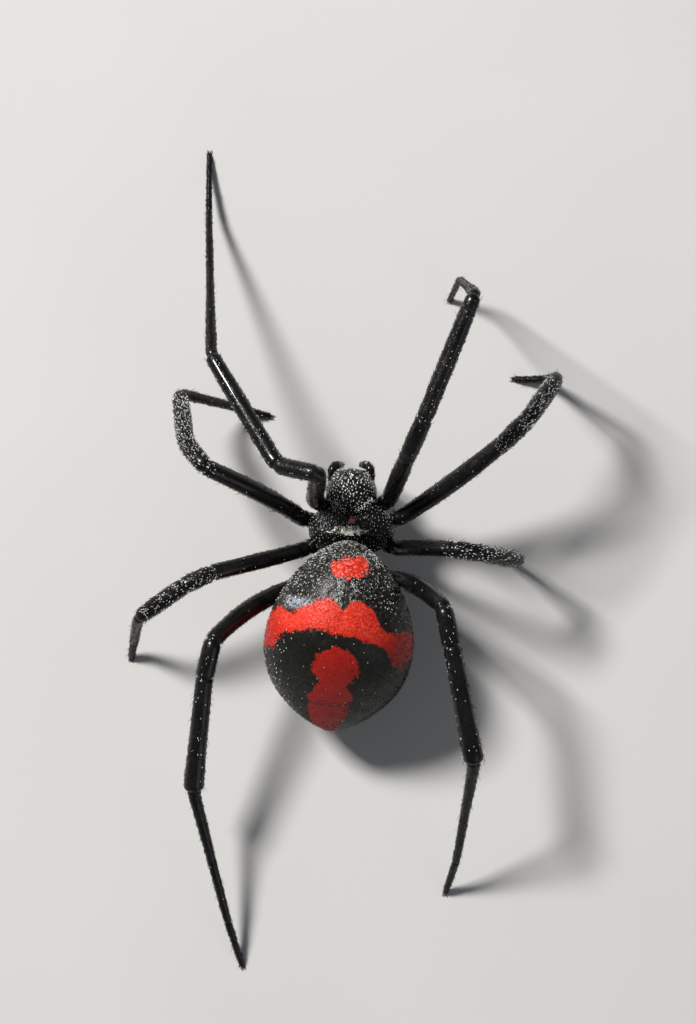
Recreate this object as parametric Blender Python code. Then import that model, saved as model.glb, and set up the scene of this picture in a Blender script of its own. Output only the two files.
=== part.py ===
"""An adult female black widow spider, life size, standing on a flat floor with its legs spread.

Sizes are in millimetres, read straight down from above, and turned to metres as each mesh is made.
+Z is up, the head points along +Y, and +X is the spider's right side.
"""

import math

import bmesh
import bpy
from mathutils import Vector

MM = 0.001

# Body, in millimetres from a point between the front legs
BODY_X = 0.16
HEAD_Y = 2.00
CARAPACE_LENGTH = 3.95
MARGIN_Z = 3.30
THORAX_HALF_WIDTH = 2.00
HEAD_HALF_WIDTH = 1.17
CLYPEUS_HALF_WIDTH = 0.84
HEAD_HEIGHT = 1.36
THORAX_HEIGHT = 1.02
SADDLE_HEIGHT = 0.90
REAR_HEIGHT = 0.42
CARAPACE_DEPTH = 0.12
FOVEA_Y = -0.42
FOVEA_RADIUS = 0.34
FOVEA_DEPTH = 0.20
GROOVE_WIDTH = 0.13
GROOVE_DEPTH = 0.09
GROOVE_HEADINGS = (38, 142, 200, 340, 245, 295)

STERNUM_FRONT = 0.36
STERNUM_REAR = -1.86
STERNUM_Z = 2.70
STERNUM_HALF_WIDTH = 0.56
STERNUM_HALF_HEIGHT = 0.34

ABDOMEN_LENGTH = 9.06
ABDOMEN_HALF_WIDTH = 3.57
ABDOMEN_HALF_HEIGHT = 3.32
ABDOMEN_FRONT = Vector((0.13, -1.34, 5.30))
ABDOMEN_MIDDLE_Z = 4.50
ABDOMEN_REAR_Z = 3.35
ABDOMEN_TURN = math.radians(6.6)
WIDEST_PART = 0.55
WIDTH_FULLNESS = 0.47
HIGHEST_PART = 0.47
HEIGHT_FULLNESS = 0.60
KEEL_TUCK = 0.28
PEDICEL_RADIUS = 0.26
PEDICEL_PATH = (Vector((BODY_X, -2.00, 2.98)), Vector((0.13, -2.35, 3.04)), Vector((0.10, -2.90, 3.30)))

SPINNERETS_AT = 0.90
SPINNERETS_DROP = 1.36
SPINNERETS_LEAN = 0.95
SPINNERETS_RADII = (0.62, 0.58, 0.42)
CONE_LENGTH = 0.62
CONE_SPREAD = 0.27
CONE_RADII = (0.15, 0.06)

EYE_RADIUS = 0.105
EYE_SOCKET = 0.045
EYE_SINK = 0.45

# Joints
JOINT_GAP = 0.14
BODY_GAP = 0.12
BEND_RADIUS = 0.55
RING_SPACING = 1.1
FOOT_TIP_RADIUS = 0.11
COXA_RADII = (0.23, 0.35, 0.39)
COXA_BULGE_AT = 0.55

SIDES = {"left": -1, "right": 1}

# Each leg's segments, in millimetres: femur, patella, tibia, metatarsus, tarsus
SEGMENTS = {
    1: (7.20, 2.27, 6.27, 9.28, 3.02),
    2: (7.02, 1.85, 3.36, 4.28, 1.78),
    3: (5.15, 1.46, 2.82, 3.32, 1.53),
    4: (7.13, 1.85, 5.67, 7.09, 2.59),
}

# Where each coxa starts under the carapace and where its femur starts, for the right side
COXAE = {
    1: (Vector((0.74, 0.10, 2.62)), Vector((1.76, 0.52, 3.00))),
    2: (Vector((0.84, -0.45, 2.56)), Vector((2.12, -0.40, 2.86))),
    3: (Vector((0.80, -1.02, 2.62)), Vector((2.05, -1.72, 2.90))),
    4: (Vector((0.52, -1.60, 2.46)), Vector((1.48, -3.16, 1.76))),
}

# Heading from +X and rise above level of each segment, in degrees
POSE = {
    ("left", 1): ((79, 80), (168, -30), (121, -17), (92, -41), (90, -20)),
    ("right", 1): ((68, 72), (66, 36), (68, 8), (119, -83), (245, -77)),
    ("left", 2): ((152, 41), (130, -36), (98, -45), (347, -49), (345, -29)),
    ("right", 2): ((36, 29), (44, 32), (54, -42), (182, -85), (179, -28)),
    ("left", 3): ((194, 26), (205, 6), (215, -20), (256, -68), (257, -56)),
    ("right", 3): ((0, 59), (352, -18), (349, -49), (169, -87), (169, -73)),
    ("left", 4): ((209.5, 36.2), (257, -13), (264, -17.6), (284, -22), (287, -28)),
    ("right", 4): ((335.8, 64.4), (282, -5), (281, -10), (261, -46), (253, -49)),
}

# How far each femur bows from its chord at mid length: sideways (left of its heading) and upward
FEMUR_BOW = {
    ("left", 1): (0.0, 0.0),
    ("right", 1): (0.0, 0.0),
    ("left", 2): (-0.12, 0.25),
    ("right", 2): (-0.10, 0.25),
    ("left", 3): (0.02, 0.25),
    ("right", 3): (0.05, 0.15),
    ("left", 4): (-0.44, -0.24),
    ("right", 4): (0.36, 0.10),
}

# Radius of each segment at its start, at 60 % of its length and at its end
THICKNESS = {
    1: ((0.41, 0.45, 0.40), (0.42, 0.45, 0.41), (0.41, 0.42, 0.38), (0.27, 0.18, 0.15), (0.15, 0.13, 0.11)),
    2: ((0.41, 0.46, 0.42), (0.43, 0.46, 0.43), (0.42, 0.44, 0.38), (0.27, 0.23, 0.20), (0.19, 0.165, 0.12)),
    3: ((0.38, 0.41, 0.40), (0.41, 0.44, 0.42), (0.42, 0.44, 0.38), (0.26, 0.24, 0.21), (0.20, 0.18, 0.13)),
    4: ((0.42, 0.46, 0.42), (0.43, 0.46, 0.44), (0.43, 0.46, 0.52), (0.30, 0.22, 0.19), (0.18, 0.16, 0.12)),
}

LEG_SIDES = 10
DOWN = Vector((0.0, 0.0, -1.0))
SEGMENT_NAMES = ("femur", "patella", "tibia", "foot")


def clear_scene():
    """Removes everything in the open file's scene."""
    for item in list(bpy.data.objects):
        bpy.data.objects.remove(item, do_unlink=True)


def material(name, colour, roughness, metallic=0.0):
    """Returns a Principled material."""
    made = bpy.data.materials.new(name)
    made.use_nodes = True
    shader = made.node_tree.nodes["Principled BSDF"]
    shader.inputs["Base Color"].default_value = (*colour, 1.0)
    shader.inputs["Roughness"].default_value = roughness
    shader.inputs["Metallic"].default_value = metallic
    made.diffuse_color = (*colour, 1.0)
    return made


def smooth(low, high, value):
    """Goes from 0 at low to 1 at high, level at both."""
    part = min(1.0, max(0.0, (value - low) / (high - low)))
    return part * part * (3.0 - 2.0 * part)


def mix(first, second, part):
    """Blends two numbers or vectors."""
    return first + (second - first) * part


def rounding(distance, reach):
    """Closes a profile: 0 at distance 0, and 1 from the reach on, round in between."""
    part = min(1.0, max(0.0, distance / reach))
    return (1.0 - (1.0 - part) ** 2) ** 0.5


def through(start, middle, end, part):
    """Passes through three sizes, the middle one at 60 %."""
    if part < 0.6:
        return mix(start, middle, smooth(0.0, 0.6, part))
    return mix(middle, end, smooth(0.6, 1.0, part))


def solid_from_rings(name, rings, slots, pick_slot=None):
    """Makes a closed solid from rings of points with the same count, with a flat cap at each end.

    Its origin is the middle of the first ring.
    """
    shape = bmesh.new()
    count = len(rings[0])
    origin = sum(rings[0], Vector()) / count
    loops = [[shape.verts.new((point - origin) * MM) for point in ring] for ring in rings]
    for here, after in zip(loops, loops[1:]):
        for k in range(count):
            shape.faces.new((here[k], here[(k + 1) % count], after[(k + 1) % count], after[k]))
    for cap in (loops[0], loops[-1]):
        shape.faces.new(cap)
    bmesh.ops.recalc_face_normals(shape, faces=shape.faces)
    if shape.calc_volume(signed=True) < 0:
        bmesh.ops.reverse_faces(shape, faces=shape.faces)
    if pick_slot:
        for face in shape.faces:
            face.material_index = pick_slot(face.calc_center_median() / MM + origin)
    mesh = bpy.data.meshes.new(name)
    shape.to_mesh(mesh)
    shape.free()
    mesh.shade_smooth()
    mesh.set_sharp_from_angle(angle=math.radians(50))
    for slot in slots:
        mesh.materials.append(slot)
    made = bpy.data.objects.new(name, mesh)
    bpy.context.scene.collection.objects.link(made)
    made.location = origin * MM
    return made


def frame_along(direction):
    """Returns two unit vectors square to a direction, the first as level as it can be."""
    across = direction.cross(Vector((0.0, 0.0, 1.0)))
    if across.length < 1e-3:
        across = direction.cross(Vector((0.0, 1.0, 0.0)))
    across.normalize()
    up = across.cross(direction).normalized()
    return across, up


def tube_rings(points, radii, sides, start_ahead=None, end_ahead=None):
    """Returns rings square to a path, each turned as little as possible from the one before.

    The first and the last ring can be square to a direction of their own.
    """
    rings = []
    across = None
    for i, point in enumerate(points):
        before = points[max(0, i - 1)]
        after = points[min(len(points) - 1, i + 1)]
        ahead = (after - before).normalized()
        if start_ahead and i == 0:
            ahead = start_ahead
        if end_ahead and i == len(points) - 1:
            ahead = end_ahead
        if across is None:
            across = frame_along(ahead)[0]
        across = (across - ahead * across.dot(ahead)).normalized()
        up = across.cross(ahead).normalized()
        ring = []
        for k in range(sides):
            angle = 2.0 * math.pi * k / sides
            ring.append(point + (across * math.cos(angle) + up * math.sin(angle)) * radii[i])
        rings.append(ring)
    return rings


# Carapace and head

def carapace_half_width(part):
    """Half width of the carapace, from its rear at 0 to the front of the head at 1."""
    body = mix(THORAX_HALF_WIDTH, HEAD_HALF_WIDTH, smooth(0.34, 0.66, part))
    body = mix(body, CLYPEUS_HALF_WIDTH, smooth(0.76, 0.97, part))
    return body * mix(0.30, 1.0, rounding(part, 0.26)) * mix(0.45, 1.0, rounding(1.0 - part, 0.07))


def carapace_top(part):
    """Height of the carapace above its margin along the middle."""
    height = mix(REAR_HEIGHT, THORAX_HEIGHT, smooth(0.02, 0.24, part))
    height = mix(height, SADDLE_HEIGHT, smooth(0.24, 0.40, part))
    height = mix(height, HEAD_HEIGHT, smooth(0.42, 0.70, part))
    height = mix(height, 0.80, smooth(0.78, 1.0, part))
    return height * mix(0.25, 1.0, rounding(part, 0.08)) * mix(0.60, 1.0, rounding(1.0 - part, 0.09))


def groove(x, y):
    """Depth of the pit behind the head and of the grooves that spread from it."""
    reach = math.hypot(x, y - FOVEA_Y)
    depth = FOVEA_DEPTH * math.exp(-(reach / FOVEA_RADIUS) ** 2)
    for heading in GROOVE_HEADINGS:
        direction = Vector((math.cos(math.radians(heading)), math.sin(math.radians(heading))))
        along = x * direction.x + (y - FOVEA_Y) * direction.y
        off = x * direction.y - (y - FOVEA_Y) * direction.x
        fade = smooth(0.05, 0.30, along) * (1.0 - smooth(0.80, 1.50, along))
        depth += GROOVE_DEPTH * fade * math.exp(-(off / GROOVE_WIDTH) ** 2)
    return depth


def carapace_surface(part, angle):
    """A point of the carapace: part runs from rear to front, and the angle turns from the right over the top."""
    half = carapace_half_width(part)
    top = carapace_top(part)
    cosine, sine = math.cos(angle), math.sin(angle)
    x = half * math.copysign(abs(cosine) ** 0.86, cosine)
    y = HEAD_Y - CARAPACE_LENGTH * (1.0 - part)
    rise = top * abs(sine) ** 0.92 if sine > 0 else -CARAPACE_DEPTH * abs(sine) ** 0.9
    z = MARGIN_Z + rise
    if sine > 0.05:
        z -= groove(x, y) * min(1.0, sine * 2.0)
    return Vector((BODY_X + x, y, z))


def build_carapace(slots):
    """The carapace with the head in one shell."""
    rows = 26
    sides = 36
    rings = []
    for i in range(rows + 1):
        part = 0.5 - 0.5 * math.cos(math.pi * i / rows)
        rings.append([carapace_surface(part, 2 * math.pi * k / sides) for k in range(sides)])
    return solid_from_rings("carapace", rings, slots)


# Eyes: name, place along the head from rear to front, angle over the top, size
EYES = {
    "eye_front_middle": (0.958, 72, 1.00),
    "eye_front_side": (0.944, 46, 0.90),
    "eye_rear_middle": (0.896, 76, 0.95),
    "eye_rear_side": (0.908, 49, 0.90),
}


def eye_places():
    """Yields each eye's name, centre and radius."""
    for name, (part, angle, size) in EYES.items():
        for side, sign in SIDES.items():
            turn = math.radians(angle if sign > 0 else 180 - angle)
            here = carapace_surface(part, turn)
            around = carapace_surface(part, turn + 0.05) - here
            along = carapace_surface(part + 0.005, turn) - here
            normal = along.cross(around).normalized()
            if normal.z < 0:
                normal = -normal
            radius = EYE_RADIUS * size
            yield name + "_" + side, here - normal * radius * EYE_SINK, radius


def ball(name, centre, radius, slots, sides=12, rows=8):
    """A small closed ball."""
    shape = bmesh.new()
    bmesh.ops.create_uvsphere(shape, u_segments=sides, v_segments=rows, radius=radius * MM)
    mesh = bpy.data.meshes.new(name)
    shape.to_mesh(mesh)
    shape.free()
    mesh.shade_smooth()
    for slot in slots:
        mesh.materials.append(slot)
    made = bpy.data.objects.new(name, mesh)
    bpy.context.scene.collection.objects.link(made)
    made.location = centre * MM
    return made


def cutter(made):
    """Marks an object as a cutting tool only."""
    made.hide_render = True
    made.display_type = "WIRE"
    return made


def cut(target, tool):
    """Subtracts a tool from an object."""
    modifier = target.modifiers.new("cut_" + tool.name, "BOOLEAN")
    modifier.operation = "DIFFERENCE"
    modifier.object = tool


def build_eyes(carapace, slots):
    """Eight eyes, each in a socket that is a little larger."""
    for name, centre, radius in eye_places():
        ball(name, centre, radius, slots)
        cut(carapace, cutter(ball("socket_for_" + name, centre, radius + EYE_SOCKET, slots)))


# Underside and mouth

def build_sternum(slots):
    """The heart-shaped shield between the leg bases."""
    rings = []
    rows = 12
    sides = 20
    for i in range(rows + 1):
        part = 0.5 - 0.5 * math.cos(math.pi * i / rows)
        y = mix(STERNUM_REAR, STERNUM_FRONT, part)
        front_end = rounding(1 - part, 0.2)
        width = STERNUM_HALF_WIDTH * mix(0.28, 1.0, smooth(0.0, 0.75, part)) * mix(0.3, 1.0, front_end)
        height = STERNUM_HALF_HEIGHT * mix(0.35, 1.0, rounding(part, 0.3)) * mix(0.35, 1.0, front_end)
        ring = []
        for k in range(sides):
            angle = 2 * math.pi * k / sides
            ring.append(Vector((BODY_X + width * math.cos(angle), y, STERNUM_Z + height * math.sin(angle))))
        rings.append(ring)
    return solid_from_rings("sternum", rings, slots)


def curve_points(stations, count):
    """Points spread along a smooth curve through a few stations."""
    points = []
    spans = len(stations) - 1
    for i in range(count + 1):
        place = spans * i / count
        k = min(int(place), spans - 1)
        t = place - k
        a = stations[max(0, k - 1)]
        b = stations[k]
        c = stations[k + 1]
        d = stations[min(spans, k + 2)]
        points.append(0.5 * ((2 * b) + (c - a) * t + (2 * a - 5 * b + 4 * c - d) * t * t
                             + (3 * b - a - 3 * c + d) * t * t * t))
    return points


# The right jaw from its root to the tip of its fang, and the right feeler from its root to its tip
CHELICERA_PATH = (
    Vector((0.37, 1.52, 3.04)),
    Vector((0.38, 1.66, 2.55)),
    Vector((0.36, 1.76, 2.10)),
    Vector((0.33, 1.74, 1.80)),
    Vector((0.27, 1.58, 1.56)),
    Vector((0.20, 1.38, 1.44)),
)
PALP_PATH = (
    Vector((0.44, 0.60, 2.66)),
    Vector((0.76, 0.92, 2.72)),
    Vector((0.90, 1.40, 2.94)),
    Vector((0.92, 1.88, 3.16)),
    Vector((0.80, 2.16, 3.10)),
    Vector((0.62, 2.24, 2.74)),
    Vector((0.50, 2.24, 2.26)),
    Vector((0.44, 2.20, 1.86)),
)


def build_chelicera(side, slots):
    """A jaw that hangs under the front of the head, drawn out into its curved fang."""
    sign = SIDES[side]
    points = curve_points(CHELICERA_PATH, 15)
    radii = []
    for i in range(len(points)):
        part = i / (len(points) - 1)
        stem = mix(0.29, 0.33, smooth(0.0, 0.25, part))
        stem = mix(stem, 0.20, smooth(0.35, 0.66, part))
        radii.append(mix(stem, 0.035, smooth(0.62, 1.0, part)))
    placed = [Vector((BODY_X + p.x * sign, p.y, p.z)) for p in points]
    return solid_from_rings("chelicera_" + side, tube_rings(placed, radii, 12), slots)


def build_palp(side, slots):
    """A feeler beside the mouth: out along the head, then down and in ahead of it."""
    sign = SIDES[side]
    points = curve_points(PALP_PATH, 24)
    radii = []
    for i in range(len(points)):
        part = i / (len(points) - 1)
        stem = mix(0.28, 0.20, smooth(0.0, 0.22, part))
        stem = mix(stem, 0.215, smooth(0.35, 0.58, part))
        stem = mix(stem, 0.18, smooth(0.62, 0.82, part))
        radii.append(mix(stem, 0.06, smooth(0.82, 1.0, part)))
    placed = [Vector((BODY_X + p.x * sign, p.y, p.z)) for p in points]
    return solid_from_rings("palp_" + side, tube_rings(placed, radii, 10), slots)


# Abdomen

def abdomen_profile(part, peak, fullness):
    """An egg's profile: 0 at both ends and 1 at its peak."""
    place = max(0.0, part) ** (math.log(0.5) / math.log(peak))
    power = fullness + 0.16 * part ** 3
    return max(0.0, math.sin(math.pi * min(1.0, place))) ** power


def abdomen_centre(part):
    """The middle of the abdomen at a place along it."""
    heading = Vector((-math.sin(ABDOMEN_TURN), -math.cos(ABDOMEN_TURN), 0.0))
    centre = ABDOMEN_FRONT + heading * ABDOMEN_LENGTH * part
    centre.z = mix(ABDOMEN_FRONT.z, ABDOMEN_MIDDLE_Z, smooth(0.0, 0.5, part))
    centre.z = mix(centre.z, ABDOMEN_REAR_Z, smooth(0.45, 1.0, part))
    return centre


# Red markings, in millimetres: across to the right of the abdomen's middle line and back from its front
SPOT_CENTRE = (0.22, 1.37)
SPOT_HALF = (0.86, 0.50)
BAND_BACK = 3.62
BAND_SLANT = 0.16
BAND_SAG = 0.075
BAND_HALF = 0.66
BAND_REACH = 3.75
STRIPE_LOBES = ((5.95, 1.00, 0.62), (7.45, 1.04, 0.74), (8.25, 0.72, 0.60))
HOURGLASS_MIDDLE = 5.10
HOURGLASS_HALF_LENGTH = 1.25
HOURGLASS_WAIST = 0.28
HOURGLASS_FLARE = 0.75


def is_red(point):
    """Whether a point of the abdomen's surface lies in a red marking."""
    ahead = Vector((-math.sin(ABDOMEN_TURN), -math.cos(ABDOMEN_TURN)))
    offset = Vector((point.x - ABDOMEN_FRONT.x, point.y - ABDOMEN_FRONT.y))
    back = offset.dot(ahead)
    across = offset.x * -ahead.y + offset.y * ahead.x
    middle = abdomen_centre(back / ABDOMEN_LENGTH).z
    if point.z > middle:
        spot = ((across - SPOT_CENTRE[0]) / SPOT_HALF[0]) ** 2 + ((back - SPOT_CENTRE[1]) / SPOT_HALF[1]) ** 2
        band = abs(back - BAND_BACK - BAND_SLANT * across - BAND_SAG * across * across)
        lobes = [((across + 0.1) / wide) ** 2 + ((back - at) / tall) ** 2 for at, wide, tall in STRIPE_LOBES]
        return spot < 1.0 or (band < BAND_HALF and abs(across) < BAND_REACH) or min(lobes) < 1.0
    if point.z < middle - 2.0:
        off = abs(back - HOURGLASS_MIDDLE) / HOURGLASS_HALF_LENGTH
        return off < 1.0 and abs(across) < HOURGLASS_WAIST + HOURGLASS_FLARE * off
    return False


def abdomen_rings(rows, sides, grown=0.0):
    """Rings around the abdomen, which can be grown outward."""
    across = Vector((math.cos(ABDOMEN_TURN), -math.sin(ABDOMEN_TURN), 0.0))
    rings = []
    for i in range(1, rows):
        part = 0.5 - 0.5 * math.cos(math.pi * i / rows)
        centre = abdomen_centre(part)
        width = ABDOMEN_HALF_WIDTH * abdomen_profile(part, WIDEST_PART, WIDTH_FULLNESS) + grown
        height = ABDOMEN_HALF_HEIGHT * abdomen_profile(part, HIGHEST_PART, HEIGHT_FULLNESS) + grown
        ring = []
        for k in range(sides):
            angle = 2 * math.pi * k / sides
            tuck = 1.0 - KEEL_TUCK * max(0.0, -math.sin(angle)) * smooth(0.5, 0.2, part)
            side = across * width * tuck * math.cos(angle)
            ring.append(centre + side + Vector((0, 0, height * math.sin(angle))))
        rings.append(ring)
    return rings


def build_abdomen(slots):
    """The globe-shaped abdomen, with its red markings as faces of a second material."""
    return solid_from_rings("abdomen", abdomen_rings(48, 44), slots, lambda point: int(is_red(point)))


def build_abdomen_space(slots):
    """A cutter that is larger than the abdomen by the body's gap."""
    return cutter(solid_from_rings("space_for_abdomen", abdomen_rings(40, 40, BODY_GAP), slots))


def build_pedicel(space, slots):
    """The narrow stalk between the two halves of the body, shaped to the abdomen at its rear end."""
    points = curve_points(PEDICEL_PATH, 8)
    made = solid_from_rings("pedicel", tube_rings(points, [PEDICEL_RADIUS] * len(points), 12), slots)
    cut(made, space)
    return made


def build_spinnerets(space, slots):
    """Three pairs of short cones and the ring that carries them, under the rear tip."""
    root = abdomen_centre(SPINNERETS_AT)
    root.z -= SPINNERETS_DROP
    aim = Vector((-math.sin(ABDOMEN_TURN), -math.cos(ABDOMEN_TURN), -SPINNERETS_LEAN)).normalized()
    across, up = frame_along(aim)
    stations = [root - aim * 0.30, root + aim * 0.05, root + aim * 0.20]
    made = solid_from_rings("spinnerets", tube_rings(stations, SPINNERETS_RADII, 16), slots)
    cones = bpy.data.collections.new("cones")
    for k in range(6):
        angle = math.radians(30 + 60 * k)
        lean = across * math.cos(angle) + up * math.sin(angle)
        start = root + aim * 0.02 + lean * CONE_SPREAD
        end = start + aim * CONE_LENGTH + lean * 0.10
        cone = solid_from_rings("cone_%d" % k, tube_rings([start, end], CONE_RADII, 8), slots)
        bpy.context.scene.collection.objects.unlink(cone)
        cones.objects.link(cutter(cone))
    bpy.context.scene.collection.children.link(cones)
    modifier = made.modifiers.new("join_cones", "BOOLEAN")
    modifier.operation = "UNION"
    modifier.operand_type = "COLLECTION"
    modifier.collection = cones
    cut(made, space)
    return made


# Legs

def unit(heading, rise):
    """A direction from a heading around +Z and a rise above level, both in degrees."""
    turn = math.radians(heading)
    lift = math.radians(rise)
    return Vector((math.cos(lift) * math.cos(turn), math.cos(lift) * math.sin(turn), math.sin(lift)))


def hip_facing(side, leg):
    """The direction that the parting between coxa and femur faces: halfway between the two."""
    start, end = COXAE[leg]
    along = end - start
    along.x *= SIDES[side]
    return (along.normalized() + unit(*POSE[(side, leg)][0])).normalized()


def leg_joints(side, leg):
    """The joints of one leg, from the femur's start to the tip, whose height is the floor's."""
    start = COXAE[leg][1].copy()
    start.x = BODY_X + start.x * SIDES[side]
    joints = [start]
    for length, (heading, rise) in zip(SEGMENTS[leg][:4], POSE[(side, leg)]):
        joints.append(joints[-1] + unit(heading, rise) * length)
    heading = POSE[(side, leg)][4][0]
    length = SEGMENTS[leg][4]
    drop = min(joints[-1].z, length * 0.98)
    joints.append(joints[-1] + unit(heading, -math.degrees(math.asin(drop / length))) * length)
    return joints


def leg_path(side, leg):
    """Points along a leg with rounded bends, and for each its segment and place along that segment."""
    joints = leg_joints(side, leg)
    bow_side, bow_up = FEMUR_BOW[(side, leg)]
    points = []
    for i in range(5):
        start, end = joints[i], joints[i + 1]
        ahead = (end - start).normalized()
        across, up = frame_along(ahead)
        begin = 0.0 if i == 0 else BEND_RADIUS
        finish = (end - start).length - (0.0 if i == 4 else BEND_RADIUS)
        steps = max(2, int((finish - begin) / RING_SPACING))
        for k in range(steps + 1):
            place = mix(begin, finish, k / steps)
            point = start + ahead * place
            if i == 0:
                swell = math.sin(math.pi * place / (end - start).length)
                point = point - across * bow_side * swell + up * bow_up * swell
            points.append((point, i, place / (end - start).length))
        if i < 4:
            corner = end
            turn_from = points[-1][0]
            turn_to = end + (joints[i + 2] - end).normalized() * BEND_RADIUS
            for k in (1, 2, 3):
                t = k / 4
                bend = turn_from * (1 - t) ** 2 + corner * 2 * t * (1 - t) + turn_to * t * t
                segment = i if t < 0.5 else i + 1
                place = 1.0 if t < 0.5 else 0.0
                points.append((bend, segment, place if t != 0.5 else -1.0))
    return points


def leg_radius(leg, segment, place):
    """Radius of a leg at a place along one segment; at a parting it is the mean of both sides."""
    if place < 0:
        before = THICKNESS[leg][segment - 1][2]
        return 0.5 * (before + THICKNESS[leg][segment][0])
    return through(*THICKNESS[leg][segment], place)


def build_leg(side, leg, slots):
    """Femur, patella, tibia and foot of one leg; the foot is the metatarsus with the tarsus."""
    path = leg_path(side, leg)
    places = [point for point, _, _ in path]
    partings = [i for i, (_, _, place) in enumerate(path) if place < 0][:3]
    bounds = [0] + partings + [len(path) - 1]
    facings = [hip_facing(side, leg)]
    facings += [(places[i + 1] - places[i - 1]).normalized() for i in partings]
    facings += [DOWN]
    for i, name in enumerate(SEGMENT_NAMES):
        points = places[bounds[i]:bounds[i + 1] + 1]
        radii = [leg_radius(leg, segment, place) for _, segment, place in path[bounds[i]:bounds[i + 1] + 1]]
        points[0] = points[0] + facings[i] * JOINT_GAP / 2
        if name == "foot":
            radii[-1] = FOOT_TIP_RADIUS
        else:
            points[-1] = points[-1] - facings[i + 1] * JOINT_GAP / 2
        rings = tube_rings(points, radii, LEG_SIDES, facings[i], facings[i + 1])
        solid_from_rings("%s_%s_%d" % (name, side, leg), rings, slots)


def build_coxa(side, leg, slots):
    """The leg's base under the carapace, with the trochanter that carries the femur."""
    start, end = (point.copy() for point in COXAE[leg])
    start.x = BODY_X + start.x * SIDES[side]
    end.x = BODY_X + end.x * SIDES[side]
    facing = hip_facing(side, leg)
    points = [start, mix(start, end, COXA_BULGE_AT), end - facing * JOINT_GAP / 2]
    rings = tube_rings(points, COXA_RADII, LEG_SIDES, end_ahead=facing)
    return solid_from_rings("coxa_%s_%d" % (side, leg), rings, slots)


def stand_on_floor():
    """Hangs every piece on one empty, which puts the middle of the model's box over the origin."""
    bpy.context.view_layer.update()
    pieces = list(bpy.context.scene.collection.all_objects)
    corners = []
    for piece in pieces:
        if not piece.hide_render:
            corners += [piece.matrix_world @ vertex.co for vertex in piece.data.vertices]
    low = Vector(min(corner[k] for corner in corners) for k in range(3))
    high = Vector(max(corner[k] for corner in corners) for k in range(3))
    spider = bpy.data.objects.new("spider", None)
    bpy.context.scene.collection.objects.link(spider)
    spider.location = (-(low.x + high.x) / 2, -(low.y + high.y) / 2, -low.z)
    for piece in pieces:
        piece.parent = spider


def main():
    """Builds the spider and sets it on the floor with the middle of its box over the origin."""
    clear_scene()
    shell = material("black_shell", (0.012, 0.011, 0.012), 0.28)
    skin = material("black_skin", (0.020, 0.018, 0.016), 0.38)
    red = material("red_marking", (0.62, 0.035, 0.022), 0.42)
    lens = material("eye_lens", (0.010, 0.009, 0.010), 0.05)

    carapace = build_carapace([shell])
    build_eyes(carapace, [lens])
    build_sternum([shell])
    build_abdomen([skin, red])
    space = build_abdomen_space([skin])
    build_pedicel(space, [skin])
    for side in SIDES:
        build_chelicera(side, [shell])
        build_palp(side, [shell])
    build_spinnerets(space, [skin])
    for leg in SEGMENTS:
        for side in SIDES:
            build_coxa(side, leg, [shell])
            build_leg(side, leg, [shell])
    stand_on_floor()


main()
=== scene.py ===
# %% [markdown]
# # A black widow at life size
#
# A grown female black widow is a glossy black spider with a globe of an abdomen, marked in red.
# This lesson dresses its solid model: it loads the solids as a fixed frame and builds finer skins,
# eyes, claws and bristles in the same places.
# Every length is written in millimetres and turned to metres with MM, because Blender's unit is the
# metre and the whole animal is only four centimetres across.

# %% Load the solid model
import math

import bpy
import numpy as np
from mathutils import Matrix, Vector


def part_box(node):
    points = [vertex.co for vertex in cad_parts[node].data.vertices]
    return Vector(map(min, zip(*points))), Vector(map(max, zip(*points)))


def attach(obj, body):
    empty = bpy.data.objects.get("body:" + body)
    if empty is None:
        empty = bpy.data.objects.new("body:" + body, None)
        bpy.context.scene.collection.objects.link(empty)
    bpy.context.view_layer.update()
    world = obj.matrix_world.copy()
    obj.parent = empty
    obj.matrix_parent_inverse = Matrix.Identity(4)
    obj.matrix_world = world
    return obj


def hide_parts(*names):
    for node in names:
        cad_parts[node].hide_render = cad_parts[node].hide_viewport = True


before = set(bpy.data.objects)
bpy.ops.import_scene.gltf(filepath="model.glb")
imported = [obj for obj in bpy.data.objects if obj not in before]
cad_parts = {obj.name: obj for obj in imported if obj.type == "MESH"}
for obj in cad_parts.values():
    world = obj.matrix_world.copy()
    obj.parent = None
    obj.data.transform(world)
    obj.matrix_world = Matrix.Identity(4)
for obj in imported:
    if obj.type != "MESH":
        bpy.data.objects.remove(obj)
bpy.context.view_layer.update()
MM = 0.001

# %% [markdown]
# The sizes of the body are those of the solid model, counted from a point between the front legs.
# Only one shift leads from that point to the model's own origin, and it is read off the carapace.
# With `at()` every later step can think in the body's own millimetres.

# %% Place sizes in the model
BODY_X = 0.16
HEAD_Y = 2.00
SIDES = {"left": -1, "right": 1}
carapace_low, carapace_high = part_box("carapace")
SHIFT = Vector((
    (carapace_low.x + carapace_high.x) / 2 / MM - BODY_X,
    carapace_high.y / MM - HEAD_Y,
    0.0,
))


def at(point):
    """Turns a point in the body's millimetres into metres in the model."""
    return (Vector(point) + SHIFT) * MM


print("shift from the body's own point:", [round(part, 3) for part in SHIFT])

# %% [markdown]
# The spider is seen from straight above, so the camera looks down at it from 30 cm, as a long lens
# does. A long lens keeps the raised front legs from looking much larger than the low ones.
# Blender measures a lens by its focal length on a 36 mm sensor, whose long side is the picture's
# height here, so the focal length follows from the height that the picture shows.

# %% Camera
CAMERA_Z = 305.0
SEEN_HEIGHT = 48.08
SEEN_AT = 300.0
bpy.ops.object.select_all(action="DESELECT")
bpy.ops.object.camera_add(location=at((0.0, 0.0, CAMERA_Z)), rotation=(0.0, 0.0, 0.0))
camera = bpy.context.object
camera.name = "camera"
camera.data.sensor_width = 36.0
camera.data.lens = 36.0 * SEEN_AT / SEEN_HEIGHT
bpy.context.scene.camera = camera
print("focal length:", round(camera.data.lens, 1), "mm")

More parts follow.
